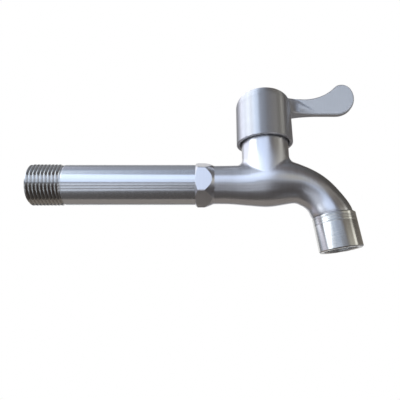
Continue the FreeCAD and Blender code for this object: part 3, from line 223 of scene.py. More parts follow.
# %% What stands round the tap
# Each row: what it is, its limits in turn, its limits in rise, its colour, its power.
PANES = (
    ("dim wall, low", (-18.0, 0.0, 150.0, 178.0), (0.0, 6.0, 12.0, 18.0), "#7F786D", 1.0),
    ("dim wall, middle", (8.0, 26.0, 150.0, 178.0), (12.0, 18.0, 26.0, 34.0), "#7F786D", 1.0),
    ("dim wall, high", (0.0, 12.0, 150.0, 180.0), (25.0, 33.0, 56.0, 74.0), "#756C66", 1.0),
    ("doorway", (50.0, 80.0, 155.0, 180.0), (14.0, 28.0, 72.0, 88.0), "#5C5954", 1.0),
    ("dark table", (-8.0, 12.0, 70.0, 95.0), (-80.0, -62.0, -26.0, -6.0), "#544F4C", 1.0),
    ("lit patch", (18.0, 42.0, 62.0, 75.0), (-8.0, 4.0, 16.0, 26.0), "#D2CEBF", 1.0),
    ("curtain", (-128.0, -118.0, -98.0, -88.0), (-45.0, -25.0, 62.0, 80.0), "#DDDCEC", 1.0),
    ("pale wall", (-150.0, -132.0, -90.0, -80.0), (10.0, 22.0, 44.0, 58.0), "#EEF2FC", 2.2),
    ("window", (-92.0, -82.0, -66.0, -59.0), (-10.0, 5.0, 48.0, 63.0), "#F4FAFF", 2.6),
    ("upper window", (-72.0, -64.0, -46.0, -38.0), (14.0, 24.0, 48.0, 63.0), "#F4FAFF", 2.6),
    ("narrow panel", (-49.0, -43.0, -30.0, -20.0), (14.0, 24.0, 62.0, 80.0), "#DCEBFF", 1.15),
    ("bright strip", (58.0, 65.0, 74.0, 80.0), (-10.0, 2.0, 18.0, 32.0), "#EFEDE2", 1.7),
)
for pane_name, turn_limits, rise_limits, pane_colour, pane_power in PANES:
    pane_limits = [(turn, turn_limits), (rise, rise_limits)]
    scene_light = lay_pane(scene_light, pane_limits, pane_colour, pane_power)
    print("pane:", pane_name)

# %% [markdown]
# The backdrop
#
# The picture has a plain white background. It is one more pane of the room, square
# like the frame and only a little larger than what the camera sees, so the steel
# mirrors it in the thin line along its outline, and nowhere else. Its place is
# given by how far a direction lies across and up from the camera's own.

# %% Backdrop
VIEW_HALF = 0.5 * FRAME_WIDTH / LENS
BACKDROP_EDGES = (-1.04 * VIEW_HALF, -1.01 * VIEW_HALF, 1.01 * VIEW_HALF, 1.04 * VIEW_HALF)
# Directions beside and behind the camera are held to this depth. It puts them outside the
# edges, but for a spot 3 degrees wide straight behind the camera.
LEAST_DEPTH = 0.05
camera_ahead = (0.0, math.cos(CAMERA_TIP), math.sin(CAMERA_TIP))
camera_up = (0.0, -math.sin(CAMERA_TIP), math.cos(CAMERA_TIP))
forward = add_node(
    room, "ShaderNodeVectorMath", {0: heading, 1: camera_ahead}, operation="DOT_PRODUCT"
).outputs["Value"]
lifted = add_node(
    room, "ShaderNodeVectorMath", {0: heading, 1: camera_up}, operation="DOT_PRODUCT"
).outputs["Value"]
depth = add_node(room, "ShaderNodeMath", {0: forward, 1: LEAST_DEPTH}, operation="MAXIMUM").outputs[0]
across = add_node(room, "ShaderNodeMath", {0: parts["X"], 1: depth}, operation="DIVIDE").outputs[0]
upright = add_node(room, "ShaderNodeMath", {0: lifted, 1: depth}, operation="DIVIDE").outputs[0]
scene_light = lay_pane(scene_light, [(across, BACKDROP_EDGES), (upright, BACKDROP_EDGES)], "#FFFFFF")
glow = add_node(room, "ShaderNodeBackground", {"Color": scene_light, "Strength": 1.0})
add_node(room, "ShaderNodeOutputWorld", {"Surface": glow.outputs["Background"]})
print("backdrop half width:", round(math.degrees(math.atan(BACKDROP_EDGES[2])), 1), "degrees")

# %% [markdown]
# Lamps
#
# The room gives soft reflections, and five broad lamps add the bright core of each
# streak. One stands where the window is and lights everything. The others each
# light only some pieces, through a collection of receivers, because a streak that
# suits the round pipe would wash out the flat blade. A piece joins its collection
# where it is made.


# %% Lamps
def add_lamp(name, place, target, width, height, power, colour):
    """A rectangular lamp that looks at a point. Sizes are in metres and its power in watts."""
    data = bpy.data.lights.new(name, "AREA")
    data.shape = "RECTANGLE"
    data.size = width
    data.size_y = height
    data.energy = power
    data.color = colour_of(colour)[:3]
    lamp = bpy.data.objects.new(name, data)
    lamp.location = place
    lamp.rotation_euler = (Vector(target) - Vector(place)).to_track_quat("-Z", "Y").to_euler()
    lamp.visible_camera = False
    bpy.context.scene.collection.objects.link(lamp)
    return lamp


TAP_MIDDLE = (0.085, 0.0, 0.01)
BLADE_EDGE = (0.14, 0.0, 0.035)
window_lamp = add_lamp(
    "window_lamp", (-0.75, -0.35, 0.45), TAP_MIDDLE, width=0.5, height=0.7, power=2.0, colour="#EAF4FF"
)
sky_lamp = add_lamp(
    "sky_lamp", (-0.05, -0.55, 0.215), TAP_MIDDLE, width=0.56, height=0.46, power=1.0, colour="#D6E6FF"
)
door_lamp = add_lamp(
    "door_lamp", (-0.69, 0.17, 0.28), TAP_MIDDLE, width=0.4, height=1.1, power=2.0, colour="#EAF2FF"
)
cap_lamp = add_lamp(
    "cap_lamp", (-0.4, -0.62, 0.25), TAP_MIDDLE, width=0.36, height=1.0, power=2.3, colour="#D2E4FA"
)
rim_lamp = add_lamp(
    "rim_lamp", (0.26, -0.18, -0.3), BLADE_EDGE, width=0.25, height=0.25, power=0.3, colour="#EEF2F6"
)
pipe_and_body = bpy.data.collections.new("pipe_and_body")
sky_lamp.light_linking.receiver_collection = pipe_and_body
lever_only = bpy.data.collections.new("lever_only")
for lamp in (door_lamp, cap_lamp, rim_lamp):
    lamp.light_linking.receiver_collection = lever_only
print("lamps:", [item.name for item in (window_lamp, sky_lamp, door_lamp, cap_lamp, rim_lamp)])

# %% [markdown]
# Floor
#
# The floor is a pale sheet of warm paper, well under the tap and behind it, out of
# the picture. It stops short of the front, where it would hide the blind from the
# pipe. What the underside of the pipe mirrors in front is the foot of the walls,
# which is painted brown.

# %% Floor
FLOOR_HALF = 0.8
FLOOR_FRONT = 0.08
FLOOR_BACK = 0.6
FLOOR_LEVEL = -0.3
floor_mesh = bpy.data.meshes.new("floor")
floor_corners = [
    (-FLOOR_HALF, FLOOR_FRONT, FLOOR_LEVEL),
    (FLOOR_HALF, FLOOR_FRONT, FLOOR_LEVEL),
    (FLOOR_HALF, FLOOR_BACK, FLOOR_LEVEL),
    (-FLOOR_HALF, FLOOR_BACK, FLOOR_LEVEL),
]
floor_mesh.from_pydata(floor_corners, [], [(0, 1, 2, 3)])
floor = bpy.data.objects.new("floor", floor_mesh)
bpy.context.scene.collection.objects.link(floor)
floor_paint = bpy.data.materials.new("matt_paper_floor")
floor_paint.use_nodes = True
paper = floor_paint.node_tree
paper_shader = paper.nodes["Principled BSDF"]
paper_place = add_node(paper, "ShaderNodeTexCoord").outputs["Object"]
# Paper fibres are under a millimetre. Here the cloudiness of the sheet is drawn, 20 mm across.
PAPER_CLOUD = 20 * MM
paper_cloud = add_node(
    paper, "ShaderNodeTexNoise", {"Vector": paper_place, "Scale": 1 / PAPER_CLOUD, "Detail": 2.0}
).outputs["Fac"]
paper_shades = {0: paper_cloud, 6: colour_of("#B5A99B"), 7: colour_of("#BBAFA1")}
paper_colour = add_node(paper, "ShaderNodeMix", paper_shades, data_type="RGBA").outputs[2]
paper.links.new(paper_colour, paper_shader.inputs["Base Color"])
paper_shader.inputs["Roughness"].default_value = 0.9
floor_mesh.materials.append(floor_paint)
print("floor in metres:", 2 * FLOOR_HALF, "by", round(FLOOR_BACK - FLOOR_FRONT, 2))

# %% [markdown]
# Brushed stainless steel
#
# Stainless steel is a pale grey metal. A tube or a casting is ground with belts and
# then brushed, which leaves fine scratches that run one way. Scratches blur a
# reflection across their own direction and leave it sharp along them, so a round
# cap that was brushed round shows tall soft streaks. The shader does this with its
# anisotropy, which needs to know the direction of the blur: each skin below carries
# it as an attribute called spread. Fine stretched noise adds the scratches that can
# be seen, from an attribute called grain, whose x runs across the scratches. Slow
# noise adds the swell that belt grinding leaves, about a centimetre long.

# %% Brushed stainless steel
# Real scratches are about 0.05 mm wide. They are drawn at 0.3 mm here, because a
# pixel of the picture covers half a millimetre.
SCRATCH_WIDTH = 0.3 * MM
SCRATCH_LENGTH = 12.0 * MM
GROUND_SWELL = 11 * MM


def new_material(name):
    """An empty material with a Principled shader wired to its output."""
    made = bpy.data.materials.new(name)
    made.use_nodes = True
    made.node_tree.nodes.clear()
    shader = add_node(made.node_tree, "ShaderNodeBsdfPrincipled")
    add_node(made.node_tree, "ShaderNodeOutputMaterial", {"Surface": shader.outputs["BSDF"]})
    return made, made.node_tree, shader


def brushed_steel(name, dark, pale, rough, blur, wave, marks=0.04):
    """Steel blurred across its scratches by `blur`, with a swell `wave` and marks in its roughness."""
    made, tree, shader = new_material(name)
    grain = add_node(tree, "ShaderNodeAttribute", attribute_name="grain").outputs["Vector"]
    place = add_node(tree, "ShaderNodeTexCoord").outputs["Object"]
    scratch_scale = (1 / SCRATCH_WIDTH, 1 / SCRATCH_LENGTH, 1 / SCRATCH_LENGTH)
    lined = add_node(tree, "ShaderNodeMapping", {"Vector": grain, "Scale": scratch_scale}).outputs["Vector"]
    scratches = add_node(
        tree, "ShaderNodeTexNoise", {"Vector": lined, "Scale": 1.0, "Detail": 3.0, "Roughness": 0.6}
    ).outputs["Fac"]
    swell = add_node(
        tree,
        "ShaderNodeTexNoise",
        {"Vector": place, "Scale": 1 / GROUND_SWELL, "Detail": 2.0, "Roughness": 0.5},
    ).outputs["Fac"]
    shades = {0: scratches, 6: colour_of(dark), 7: colour_of(pale)}
    paint = add_node(tree, "ShaderNodeMix", shades, data_type="RGBA")
    tree.links.new(paint.outputs[2], shader.inputs["Base Color"])
    marked = {"Value": scratches, "From Min": 0.3, "From Max": 0.7}
    marked.update({"To Min": rough - marks, "To Max": rough + marks})
    roughness = add_node(tree, "ShaderNodeMapRange", marked).outputs["Result"]
    tree.links.new(roughness, shader.inputs["Roughness"])
    swelled = add_node(
        tree, "ShaderNodeBump", {"Height": swell, "Strength": wave, "Distance": 0.3 * MM}
    ).outputs["Normal"]
    scratched = add_node(
        tree,
        "ShaderNodeBump",
        {"Height": scratches, "Strength": 0.08, "Distance": 0.02 * MM, "Normal": swelled},
    ).outputs["Normal"]
    tree.links.new(scratched, shader.inputs["Normal"])
    spread = add_node(tree, "ShaderNodeAttribute", attribute_name="spread").outputs["Vector"]
    turned = add_node(
        tree,
        "ShaderNodeVectorTransform",
        {"Vector": spread},
        vector_type="VECTOR",
        convert_from="OBJECT",
        convert_to="WORLD",
    ).outputs["Vector"]
    tree.links.new(turned, shader.inputs["Tangent"])
    shader.inputs["Metallic"].default_value = 1.0
    shader.inputs["Anisotropic"].default_value = blur
    return made


print("scratches to a millimetre:", round(MM / SCRATCH_WIDTH, 1))

# %% [markdown]
# Materials with an even grain
#
# Moulded, sintered, drawn and pressed surfaces have a grain that is the same in all
# directions. A small turned part has rings of tool marks round its axis instead:
# the same noise stretched flat, so that it changes along the axis alone. One
# function makes both, from the place in space, so a plain solid can wear them.

# %% Materials with an even grain
ROUGHNESS_SWING = 0.06


def grained(name, dark, pale, rough, grain, metallic=0.0, bump=0.2, turned=False):
    """A material whose colour, roughness and bump follow a grain that is `grain` mm wide."""
    made, tree, shader = new_material(name)
    place = add_node(tree, "ShaderNodeTexCoord").outputs["Object"]
    fine_scale = 1 / (grain * MM)
    sideways_scale = 1.0 if turned else fine_scale
    grain_scale = (sideways_scale, sideways_scale, fine_scale)
    laid = add_node(tree, "ShaderNodeMapping", {"Vector": place, "Scale": grain_scale}).outputs["Vector"]
    grains = add_node(
        tree, "ShaderNodeTexNoise", {"Vector": laid, "Scale": 1.0, "Detail": 3.0, "Roughness": 0.55}
    ).outputs["Fac"]
    shades = {0: grains, 6: colour_of(dark), 7: colour_of(pale)}
    paint = add_node(tree, "ShaderNodeMix", shades, data_type="RGBA")
    tree.links.new(paint.outputs[2], shader.inputs["Base Color"])
    marked = {"Value": grains, "From Min": 0.3, "From Max": 0.7}
    marked.update({"To Min": rough - ROUGHNESS_SWING, "To Max": rough + ROUGHNESS_SWING})
    roughness = add_node(tree, "ShaderNodeMapRange", marked).outputs["Result"]
    tree.links.new(roughness, shader.inputs["Roughness"])
    grain_normal = add_node(
        tree, "ShaderNodeBump", {"Height": grains, "Strength": bump, "Distance": 0.02 * MM}
    ).outputs["Normal"]
    tree.links.new(grain_normal, shader.inputs["Normal"])
    shader.inputs["Metallic"].default_value = metallic
    return made


# The pipe's bore is as it was drawn: dull, with a grain that runs every way.
bore_steel = grained("drawn_tube_bore", "#8F8F92", "#A2A3A6", rough=0.55, grain=0.5, metallic=1.0)
# Wire is drawn through a die, which leaves it smoother and paler than the bore.
wire_steel = grained("drawn_stainless_wire", "#B4B5B8", "#C8C9CC", rough=0.3, grain=0.3, metallic=1.0)
print("even grains:", bore_steel.name, wire_steel.name)

# %% [markdown]
# The five steels
#
# The pieces are of one metal, and differ in how they were finished. The tube was
# ground as it turned and mirrors the blind in crisp lines. The thread was cut and
# has no brushing. The casting and the lever are satin, the lever most of all, so
# its blade is an even grey. The nozzle was turned and polished, and is the palest.

# %% The five steels
pipe_steel = brushed_steel(
    "turned_stainless_tube", "#C4C5C9", "#D2D4D8", rough=0.24, blur=0.85, wave=0.12, marks=0.02
)
thread_steel = brushed_steel(
    "cut_thread_stainless", "#A9A8A6", "#BDBCB9", rough=0.15, blur=0.0, wave=0.1, marks=0.03
)
cast_steel = brushed_steel("brushed_cast_stainless", "#BEBEC2", "#CFCFD3", rough=0.32, blur=0.8, wave=0.3)
lever_steel = brushed_steel("satin_lever_stainless", "#BEBEC1", "#CDCDD0", rough=0.46, blur=1.0, wave=0.1)
turned_steel = brushed_steel("turned_stainless", "#CCCCCC", "#DCDCDA", rough=0.24, blur=0.9, wave=0.1)
steels = (pipe_steel, thread_steel, cast_steel, lever_steel, turned_steel)
print("steels:", [made.name for made in steels])

# %% [markdown]
# The threaded pipe
#
# A pipe thread is one groove that winds round the tube: 14 turns to the inch, with
# flanks at 55 degrees and rounded crests and roots. It could be a stack of rings,
# but rings don't climb, and the eye sees that at the thread's end. Here Geometry
# Nodes bend a flat grid round the tube. One side of the grid is shifted by a whole
# pitch, so its edges meet as a screw does, and the radius follows the thread's
# wave. The tree begins with its named inputs.

# %% Thread inputs
THREAD_PITCH = 1.814 * MM
THREAD_CREST = 10.4775 * MM
THREAD_DEPTH = 1.162 * MM
THREAD_END = 18.0 * MM
PIPE_OUTSIDE = 10.2 * MM
PIPE_BORE = 8.2 * MM
PIPE_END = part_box("inlet_pipe")[1][0]
# How far into its wave the thread starts, in pitches.
WAVE_START = 0.55
thread_tree = bpy.data.node_groups.new("pipe_thread", "GeometryNodeTree")
thread_sizes = {
    "Pitch": THREAD_PITCH,
    "Crest radius": THREAD_CREST,
    "Depth": THREAD_DEPTH,
    "Length": THREAD_END,
    "Shoulder radius": PIPE_OUTSIDE,
    "First crest": WAVE_START,
}


def named_inputs(tree, sizes):
    """Give a tree an input for each size and for its steel, and an output. Returns the inputs' sockets."""
    sockets = {}
    for name in sizes:
        made = tree.interface.new_socket(name, in_out="INPUT", socket_type="NodeSocketFloat")
        sockets[name] = made.identifier
    made = tree.interface.new_socket("Steel", in_out="INPUT", socket_type="NodeSocketMaterial")
    sockets["Steel"] = made.identifier
    tree.interface.new_socket("Geometry", in_out="OUTPUT", socket_type="NodeSocketGeometry")
    return sockets


thread_sockets = named_inputs(thread_tree, thread_sizes)
print("thread inputs:", list(thread_sockets))

# %% [markdown]
# Where each point of the grid goes
#
# The tree's arithmetic is written as rows: what a sum gives, its operation, and what
# it works on, which is a number or the name of an input or of an earlier sum. A
# short loop makes a node of each row. The first rows place a point of the grid along
# the pipe: its x runs over twelve pitches of helix and its y once round the tube.
# What would stick out at either end is pushed back to that end, and welds there.

# %% Where each point of the grid goes
TURNS = 12
ROWS_PER_TURN = 14
COLUMNS = 112
WELD_GAP = 0.004 * MM
sizes = add_node(thread_tree, "NodeGroupInput").outputs
flat = add_node(thread_tree, "GeometryNodeInputPosition").outputs["Position"]
flat_parts = add_node(thread_tree, "ShaderNodeSeparateXYZ", {"Vector": flat}).outputs
known = {name: sizes[name] for name in thread_sizes}
known.update({"flat x": flat_parts["X"], "flat y": flat_parts["Y"]})
place_sums = (
    ("grid length", "MULTIPLY", "Pitch", float(TURNS)),
    ("start", "MULTIPLY", "Pitch", TURNS / 2 - 1.0),
    ("round share", "ADD", "flat y", 0.5),
    ("climb", "MULTIPLY", "round share", "Pitch"),
    ("started", "ADD", "flat x", "start"),
    ("climbed", "ADD", "started", "climb"),
    ("kept off the front", "MAXIMUM", "climbed", 0.0),
    ("along", "MINIMUM", "kept off the front", "Length"),
)
for made, operation, *terms in place_sums:
    inputs = {place: known.get(term, term) for place, term in enumerate(terms)}
    known[made] = add_node(thread_tree, "ShaderNodeMath", inputs, operation=operation).outputs[0]
grid = add_node(
    thread_tree,
    "GeometryNodeMeshGrid",
    {
        "Size X": known["grid length"],
        "Size Y": 1.0,
        "Vertices X": TURNS * ROWS_PER_TURN + 1,
        "Vertices Y": COLUMNS + 1,
    },
).outputs["Mesh"]
print("grid points:", (TURNS * ROWS_PER_TURN + 1) * (COLUMNS + 1))

# %% [markdown]
# The thread's wave
#
# A sharp V of 55 degrees is 0.96 pitches tall. A sixth of it is taken off the crest
# and a sixth off the root, and soft limits round the corners that this leaves. A
# pitch and a quarter before the plain tube's shoulder the wave starts to fade into a
# shallow run-out groove, as a die leaves it.

# %% The thread's wave
CUT_SHARE = 1 / 6
CORNER_SOFTNESS = 0.25
# How many pitches before the shoulder the wave has faded, and how many before it is still full.
FADED = 0.55
FULL = 1.25
wave_sums = (
    ("from the climb", "SUBTRACT", "along", "climb"),
    ("turns", "DIVIDE", "from the climb", "Pitch"),
    ("phase", "ADD", "turns", "First crest"),
    ("half turns", "MULTIPLY", "phase", 2.0),
    ("zigzag", "PINGPONG", "half turns", 1.0),
    ("above the cut", "SUBTRACT", "zigzag", CUT_SHARE),
    ("flanks", "DIVIDE", "above the cut", 1 - 2 * CUT_SHARE),
    ("soft roots", "SMOOTH_MAX", "flanks", 0.0, CORNER_SOFTNESS),
    ("rounded", "SMOOTH_MIN", "soft roots", 1.0, CORNER_SOFTNESS),
    ("shoulder gap", "SUBTRACT", "Length", "along"),
    ("faded gap", "MULTIPLY", "Pitch", FADED),
    ("full gap", "MULTIPLY", "Pitch", FULL),
)
for made, operation, *terms in wave_sums:
    inputs = {place: known.get(term, term) for place, term in enumerate(terms)}
    known[made] = add_node(thread_tree, "ShaderNodeMath", inputs, operation=operation).outputs[0]
known["fade"] = add_node(
    thread_tree,
    "ShaderNodeMapRange",
    {"Value": known["shoulder gap"], "From Min": known["faded gap"], "From Max": known["full gap"]},
    interpolation_type="SMOOTHSTEP",
).outputs["Result"]
print("thread tree nodes so far:", len(thread_tree.nodes))

# %% [markdown]
# From wave to radius
#
# The wave stands on the root radius. A chamfer cuts the first turn down, so that a
# socket finds its start, and the last bit rises at 45 degrees to the shoulder. Then
# the radius and the angle round the tube give the point's place.

# %% From wave to radius
RUN_OUT_HEIGHT = 0.55
LEAD_IN_SLOPE = 1.3
radius_sums = (
    ("faded away", "SUBTRACT", 1.0, "fade"),
    ("run-out", "MULTIPLY", "faded away", RUN_OUT_HEIGHT),
    ("faded wave", "MULTIPLY", "rounded", "fade"),
    ("wave share", "ADD", "faded wave", "run-out"),
    ("wave height", "MULTIPLY", "wave share", "Depth"),
    ("root", "SUBTRACT", "Crest radius", "Depth"),
    ("threaded", "ADD", "root", "wave height"),
    ("chamfer rise", "MULTIPLY", "along", LEAD_IN_SLOPE),
    ("chamfer", "ADD", "root", "chamfer rise"),
    ("led in", "MINIMUM", "threaded", "chamfer"),
    ("shoulder", "SUBTRACT", "Shoulder radius", "shoulder gap"),
    ("radius", "MAXIMUM", "led in", "shoulder"),
    ("angle", "MULTIPLY", "round share", math.tau),
    ("cosine", "COSINE", "angle"),
    ("sine", "SINE", "angle"),
    ("y", "MULTIPLY", "radius", "cosine"),
    ("z", "MULTIPLY", "radius", "sine"),
)
for made, operation, *terms in radius_sums:
    inputs = {place: known.get(term, term) for place, term in enumerate(terms)}
    known[made] = add_node(thread_tree, "ShaderNodeMath", inputs, operation=operation).outputs[0]
bent = add_node(
    thread_tree, "ShaderNodeCombineXYZ", {"X": known["along"], "Y": known["y"], "Z": known["z"]}
).outputs["Vector"]
wrapped = add_node(
    thread_tree, "GeometryNodeSetPosition", {"Geometry": grid, "Position": bent}
).outputs["Geometry"]
welded = add_node(
    thread_tree, "GeometryNodeMergeByDistance", {"Geometry": wrapped, "Distance": WELD_GAP}
).outputs["Geometry"]
solid = add_node(thread_tree, "GeometryNodeRealizeInstances", {"Geometry": welded}).outputs["Geometry"]
steeled = add_node(
    thread_tree, "GeometryNodeSetMaterial", {"Geometry": solid, "Material": sizes["Steel"]}
).outputs["Geometry"]
add_node(thread_tree, "NodeGroupOutput", {"Geometry": steeled})
print("thread tree nodes:", len(thread_tree.nodes))

# %% [markdown]
# Run the thread tree
#
# A tree does nothing until an object wears it as a modifier. An empty one is enough,
# since the grid comes from the tree. Its result is kept as a plain mesh, and the
# object goes away again.


# %% Run the thread tree
def mesh_from_tree(tree, settings, name):
    """Evaluate a geometry tree on an empty object and keep the result as a plain mesh."""
    holder = bpy.data.objects.new(name + "_holder", bpy.data.meshes.new(name + "_holder"))
    bpy.context.scene.collection.objects.link(holder)
    modifier = holder.modifiers.new(name, "NODES")
    modifier.node_group = tree
    for socket, value in settings.items():
        modifier[socket] = value
    evaluated = holder.evaluated_get(bpy.context.evaluated_depsgraph_get())
    mesh = bpy.data.meshes.new_from_object(evaluated)
    mesh.name = name
    holder.modifiers.remove(modifier)
    bpy.data.objects.remove(holder)
    return mesh


thread_settings = {thread_sockets[name]: value for name, value in thread_sizes.items()}
thread_settings[thread_sockets["Steel"]] = pipe_steel
thread_mesh = mesh_from_tree(thread_tree, thread_settings, "thread")
print("thread faces:", len(thread_mesh.polygons))

# %% [markdown]
# The look of the cut thread
#
# Cutting oil and dust stay in a thread's grooves, and shade falls there too, so its
# colour is painted darker from crest to root: partly oil, partly painted shade. Its
# flanks are steeper than the picture can show: a pixel covers a flank and mirrors all
# of the room at once. So the normal is eased towards straight out from the axis, and
# each turn shows as one pale and one dark line.

# %% The look of the cut thread
GROOVE_BOTTOM = 9.4 * MM
GROOVE_TOP = 10.4 * MM
NORMAL_EASE = 0.7
thread_shades = thread_steel.node_tree
thread_shader = thread_shades.nodes["Principled BSDF"]
thread_place = add_node(thread_shades, "ShaderNodeTexCoord").outputs["Object"]
flat_place = add_node(
    thread_shades, "ShaderNodeVectorMath", {0: thread_place, 1: (0.0, 1.0, 1.0)}, operation="MULTIPLY"
).outputs["Vector"]
from_axis = add_node(
    thread_shades, "ShaderNodeVectorMath", {0: flat_place}, operation="LENGTH"
).outputs["Value"]
oil_and_shade_fade = add_node(
    thread_shades,
    "ShaderNodeMapRange",
    {"Value": from_axis, "From Min": GROOVE_BOTTOM, "From Max": GROOVE_TOP},
).outputs["Result"]
clean_steel = thread_shader.inputs["Base Color"].links[0].from_socket
# The roots are painted darker: partly cutting oil, partly painted shade in the grooves.
groove_oil_and_painted_shade = {0: oil_and_shade_fade, 6: colour_of("#86827D"), 7: clean_steel}
thread_colour_with_painted_shade = add_node(thread_shades, "ShaderNodeMix", groove_oil_and_painted_shade, data_type="RGBA").outputs[2]
thread_shades.links.new(thread_colour_with_painted_shade, thread_shader.inputs["Base Color"])
own_normal = thread_shader.inputs["Normal"].links[0].from_socket
straight_out = add_node(
    thread_shades, "ShaderNodeVectorMath", {0: flat_place}, operation="NORMALIZE"
).outputs[0]
outward = add_node(
    thread_shades,
    "ShaderNodeVectorTransform",
    {"Vector": straight_out},
    vector_type="VECTOR",
    convert_from="OBJECT",
    convert_to="WORLD",
).outputs["Vector"]
eased = add_node(
    thread_shades, "ShaderNodeMix", {0: NORMAL_EASE, 4: own_normal, 5: outward}, data_type="VECTOR"
).outputs[1]
eased_normal = add_node(
    thread_shades, "ShaderNodeVectorMath", {0: eased}, operation="NORMALIZE"
).outputs[0]
thread_shades.links.new(eased_normal, thread_shader.inputs["Normal"])
print("thread material nodes:", len(thread_shades.nodes))

# %% [markdown]
# Tools for turned pieces
#
# The plain tube and the nozzle are lathe work: a profile of points, turned round an
# axis. A second helper cleans up a mesh that was put together: it welds it, turns
# its faces outwards, and shades it smooth except over sharp edges. Two short ones
# read where a mesh's vertices are and store a vector at each.


# %% Tools for turned pieces
def turned_rows(profile, columns, closed=False):
    """Vertices and faces of a profile of (along, radius) turned round the X axis."""
    points = []
    for along_axis, radius in profile:
        for column in range(columns):
            angle_round = math.tau * column / columns
            points.append((along_axis, radius * math.cos(angle_round), radius * math.sin(angle_round)))
    faces = []
    rows = len(profile) if closed else len(profile) - 1
    for row in range(rows):
        after = (row + 1) % len(profile)
        for column in range(columns):
            beside = (column + 1) % columns
            near_edge = (row * columns + column, after * columns + column)
            far_edge = (after * columns + beside, row * columns + beside)
            faces.append(near_edge + far_edge)
    return points, faces


def finished(mesh, name, sharp):
    """Weld a mesh, turn its faces outwards, smooth it up to `sharp` degrees, and make it an object."""
    working = bmesh.new()
    working.from_mesh(mesh)
    bmesh.ops.remove_doubles(working, verts=working.verts, dist=WELD_GAP)
    bmesh.ops.dissolve_degenerate(working, edges=working.edges, dist=0.25 * WELD_GAP)
    bmesh.ops.recalc_face_normals(working, faces=working.faces)
    open_edges = sum(1 for edge in working.edges if not edge.is_manifold)
    working.to_mesh(mesh)
    working.free()
    mesh.shade_smooth()
    mesh.set_sharp_from_angle(angle=math.radians(sharp))
    piece = bpy.data.objects.new(name, mesh)
    bpy.context.scene.collection.objects.link(piece)
    print(name, "faces:", len(mesh.polygons), "open edges:", open_edges)
    return piece


def spots_of(mesh):
    """The mesh's vertices as rows of x, y, z."""
    spots = np.empty(len(mesh.vertices) * 3)
    mesh.vertices.foreach_get("co", spots)
    return spots.reshape(-1, 3)


def keep_vectors(mesh, name, rows):
    """Store one vector for each vertex."""
    kept = mesh.attributes.new(name, "FLOAT_VECTOR", "POINT")
    kept.data.foreach_set("vector", np.asarray(rows, dtype=np.float32).reshape(-1))


print("weld gap in mm:", WELD_GAP / MM)

# %% [markdown]
# The whole pipe
#
# The tube, its bore and its two end faces are turned with as many columns as the
# thread has, so the two meet corner to corner and weld into one closed shell. Each
# face then gets the finish of its place: ground outside, cut thread, or drawn bore.
# The tube was ground as it turned, so its scratches run round it and the blur that
# they give runs along it.

# %% The whole pipe
SHOULDER_EDGE = THREAD_END - 0.4 * MM
CUT_FROM = PIPE_BORE + 0.5 * MM
BORE_TO = PIPE_BORE + 0.1 * MM
tube_profile = [
    (THREAD_END, PIPE_OUTSIDE),
    (0.5 * (THREAD_END + PIPE_END), PIPE_OUTSIDE),
    (PIPE_END, PIPE_OUTSIDE),
    (PIPE_END, PIPE_BORE),
    (0.0, PIPE_BORE),
    (0.0, THREAD_CREST - THREAD_DEPTH),
]
tube_points, tube_faces = turned_rows(tube_profile, COLUMNS)
pipe_mesh = bpy.data.meshes.new("threaded_pipe")
joined = bmesh.new()
joined.from_mesh(thread_mesh)
tube_corners = [joined.verts.new(point) for point in tube_points]
for face in tube_faces:
    joined.faces.new([tube_corners[corner] for corner in face])
joined.to_mesh(pipe_mesh)
joined.free()
for steel in (pipe_steel, thread_steel, bore_steel):
    pipe_mesh.materials.append(steel)
threaded_pipe = finished(pipe_mesh, "threaded_pipe", sharp=40)
for face in pipe_mesh.polygons:
    off_axis = face.center.yz.length
    cut = face.center.x < SHOULDER_EDGE and off_axis > CUT_FROM
    inner = off_axis < BORE_TO
    face.material_index = 1 if cut else 2 if inner else 0
pipe_spots = spots_of(pipe_mesh)
keep_vectors(pipe_mesh, "grain", pipe_spots)
keep_vectors(pipe_mesh, "spread", np.tile((1.0, 0.0, 0.0), (len(pipe_spots), 1)))
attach(threaded_pipe, "body")
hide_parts("inlet_pipe")
pipe_and_body.objects.link(threaded_pipe)

# %% [markdown]
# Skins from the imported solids
#
# The cast body and the lever keep the exact shape of their solids. A skin is a copy
# of such a solid's mesh that can carry attributes. The copy comes as loose
# triangles, so its corners are welded first, and each corner keeps the normal that
# the solid gave it, because normals worked out again from long thin triangles would
# ripple in the reflections.


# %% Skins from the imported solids
def skin_of(node_name, piece_name, material):
    """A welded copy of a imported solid's mesh, with its exact normals."""
    packed = nodes[node_name].data
    spots = spots_of(packed)
    corners = np.empty(len(packed.loops), dtype=int)
    packed.loops.foreach_get("vertex_index", corners)
    normals = np.array([tuple(corner.vector) for corner in packed.corner_normals])
    keys = np.round(spots / (0.5 * WELD_GAP)).astype(np.int64)
    _, first, shared = np.unique(keys, axis=0, return_index=True, return_inverse=True)
    faces = shared.reshape(-1)[corners].reshape(-1, 3)
    whole = (faces[:, 0] != faces[:, 1]) & (faces[:, 1] != faces[:, 2]) & (faces[:, 2] != faces[:, 0])
    mesh = bpy.data.meshes.new(piece_name)
    mesh.from_pydata(spots[first].tolist(), [], faces[whole].tolist())
    mesh.normals_split_custom_set(normals.reshape(-1, 3, 3)[whole].reshape(-1, 3).tolist())
    mesh.materials.append(material)
    piece = bpy.data.objects.new(piece_name, mesh)
    bpy.context.scene.collection.objects.link(piece)
    print(piece_name, "corners welded:", len(spots), "to", len(first))
    return piece


def unit(rows):
    """Rows scaled to length 1."""
    return rows / np.maximum(np.linalg.norm(rows, axis=1, keepdims=True), 1e-9)


cast_skin = skin_of("tap_body", "cast_body", cast_steel)
lever_skin = skin_of("lever_handle", "lever", lever_steel)

# %% [markdown]
# A line down the waterway
#
# Barrel, belly and spout are one casting that was brushed after it was ground. The
# pattern follows a line down the middle of the waterway: straight along the barrel,
# then round the bend to the nozzle and a little beyond. It is laid out in x and z,
# with the bend as a curve that one corner point pulls.

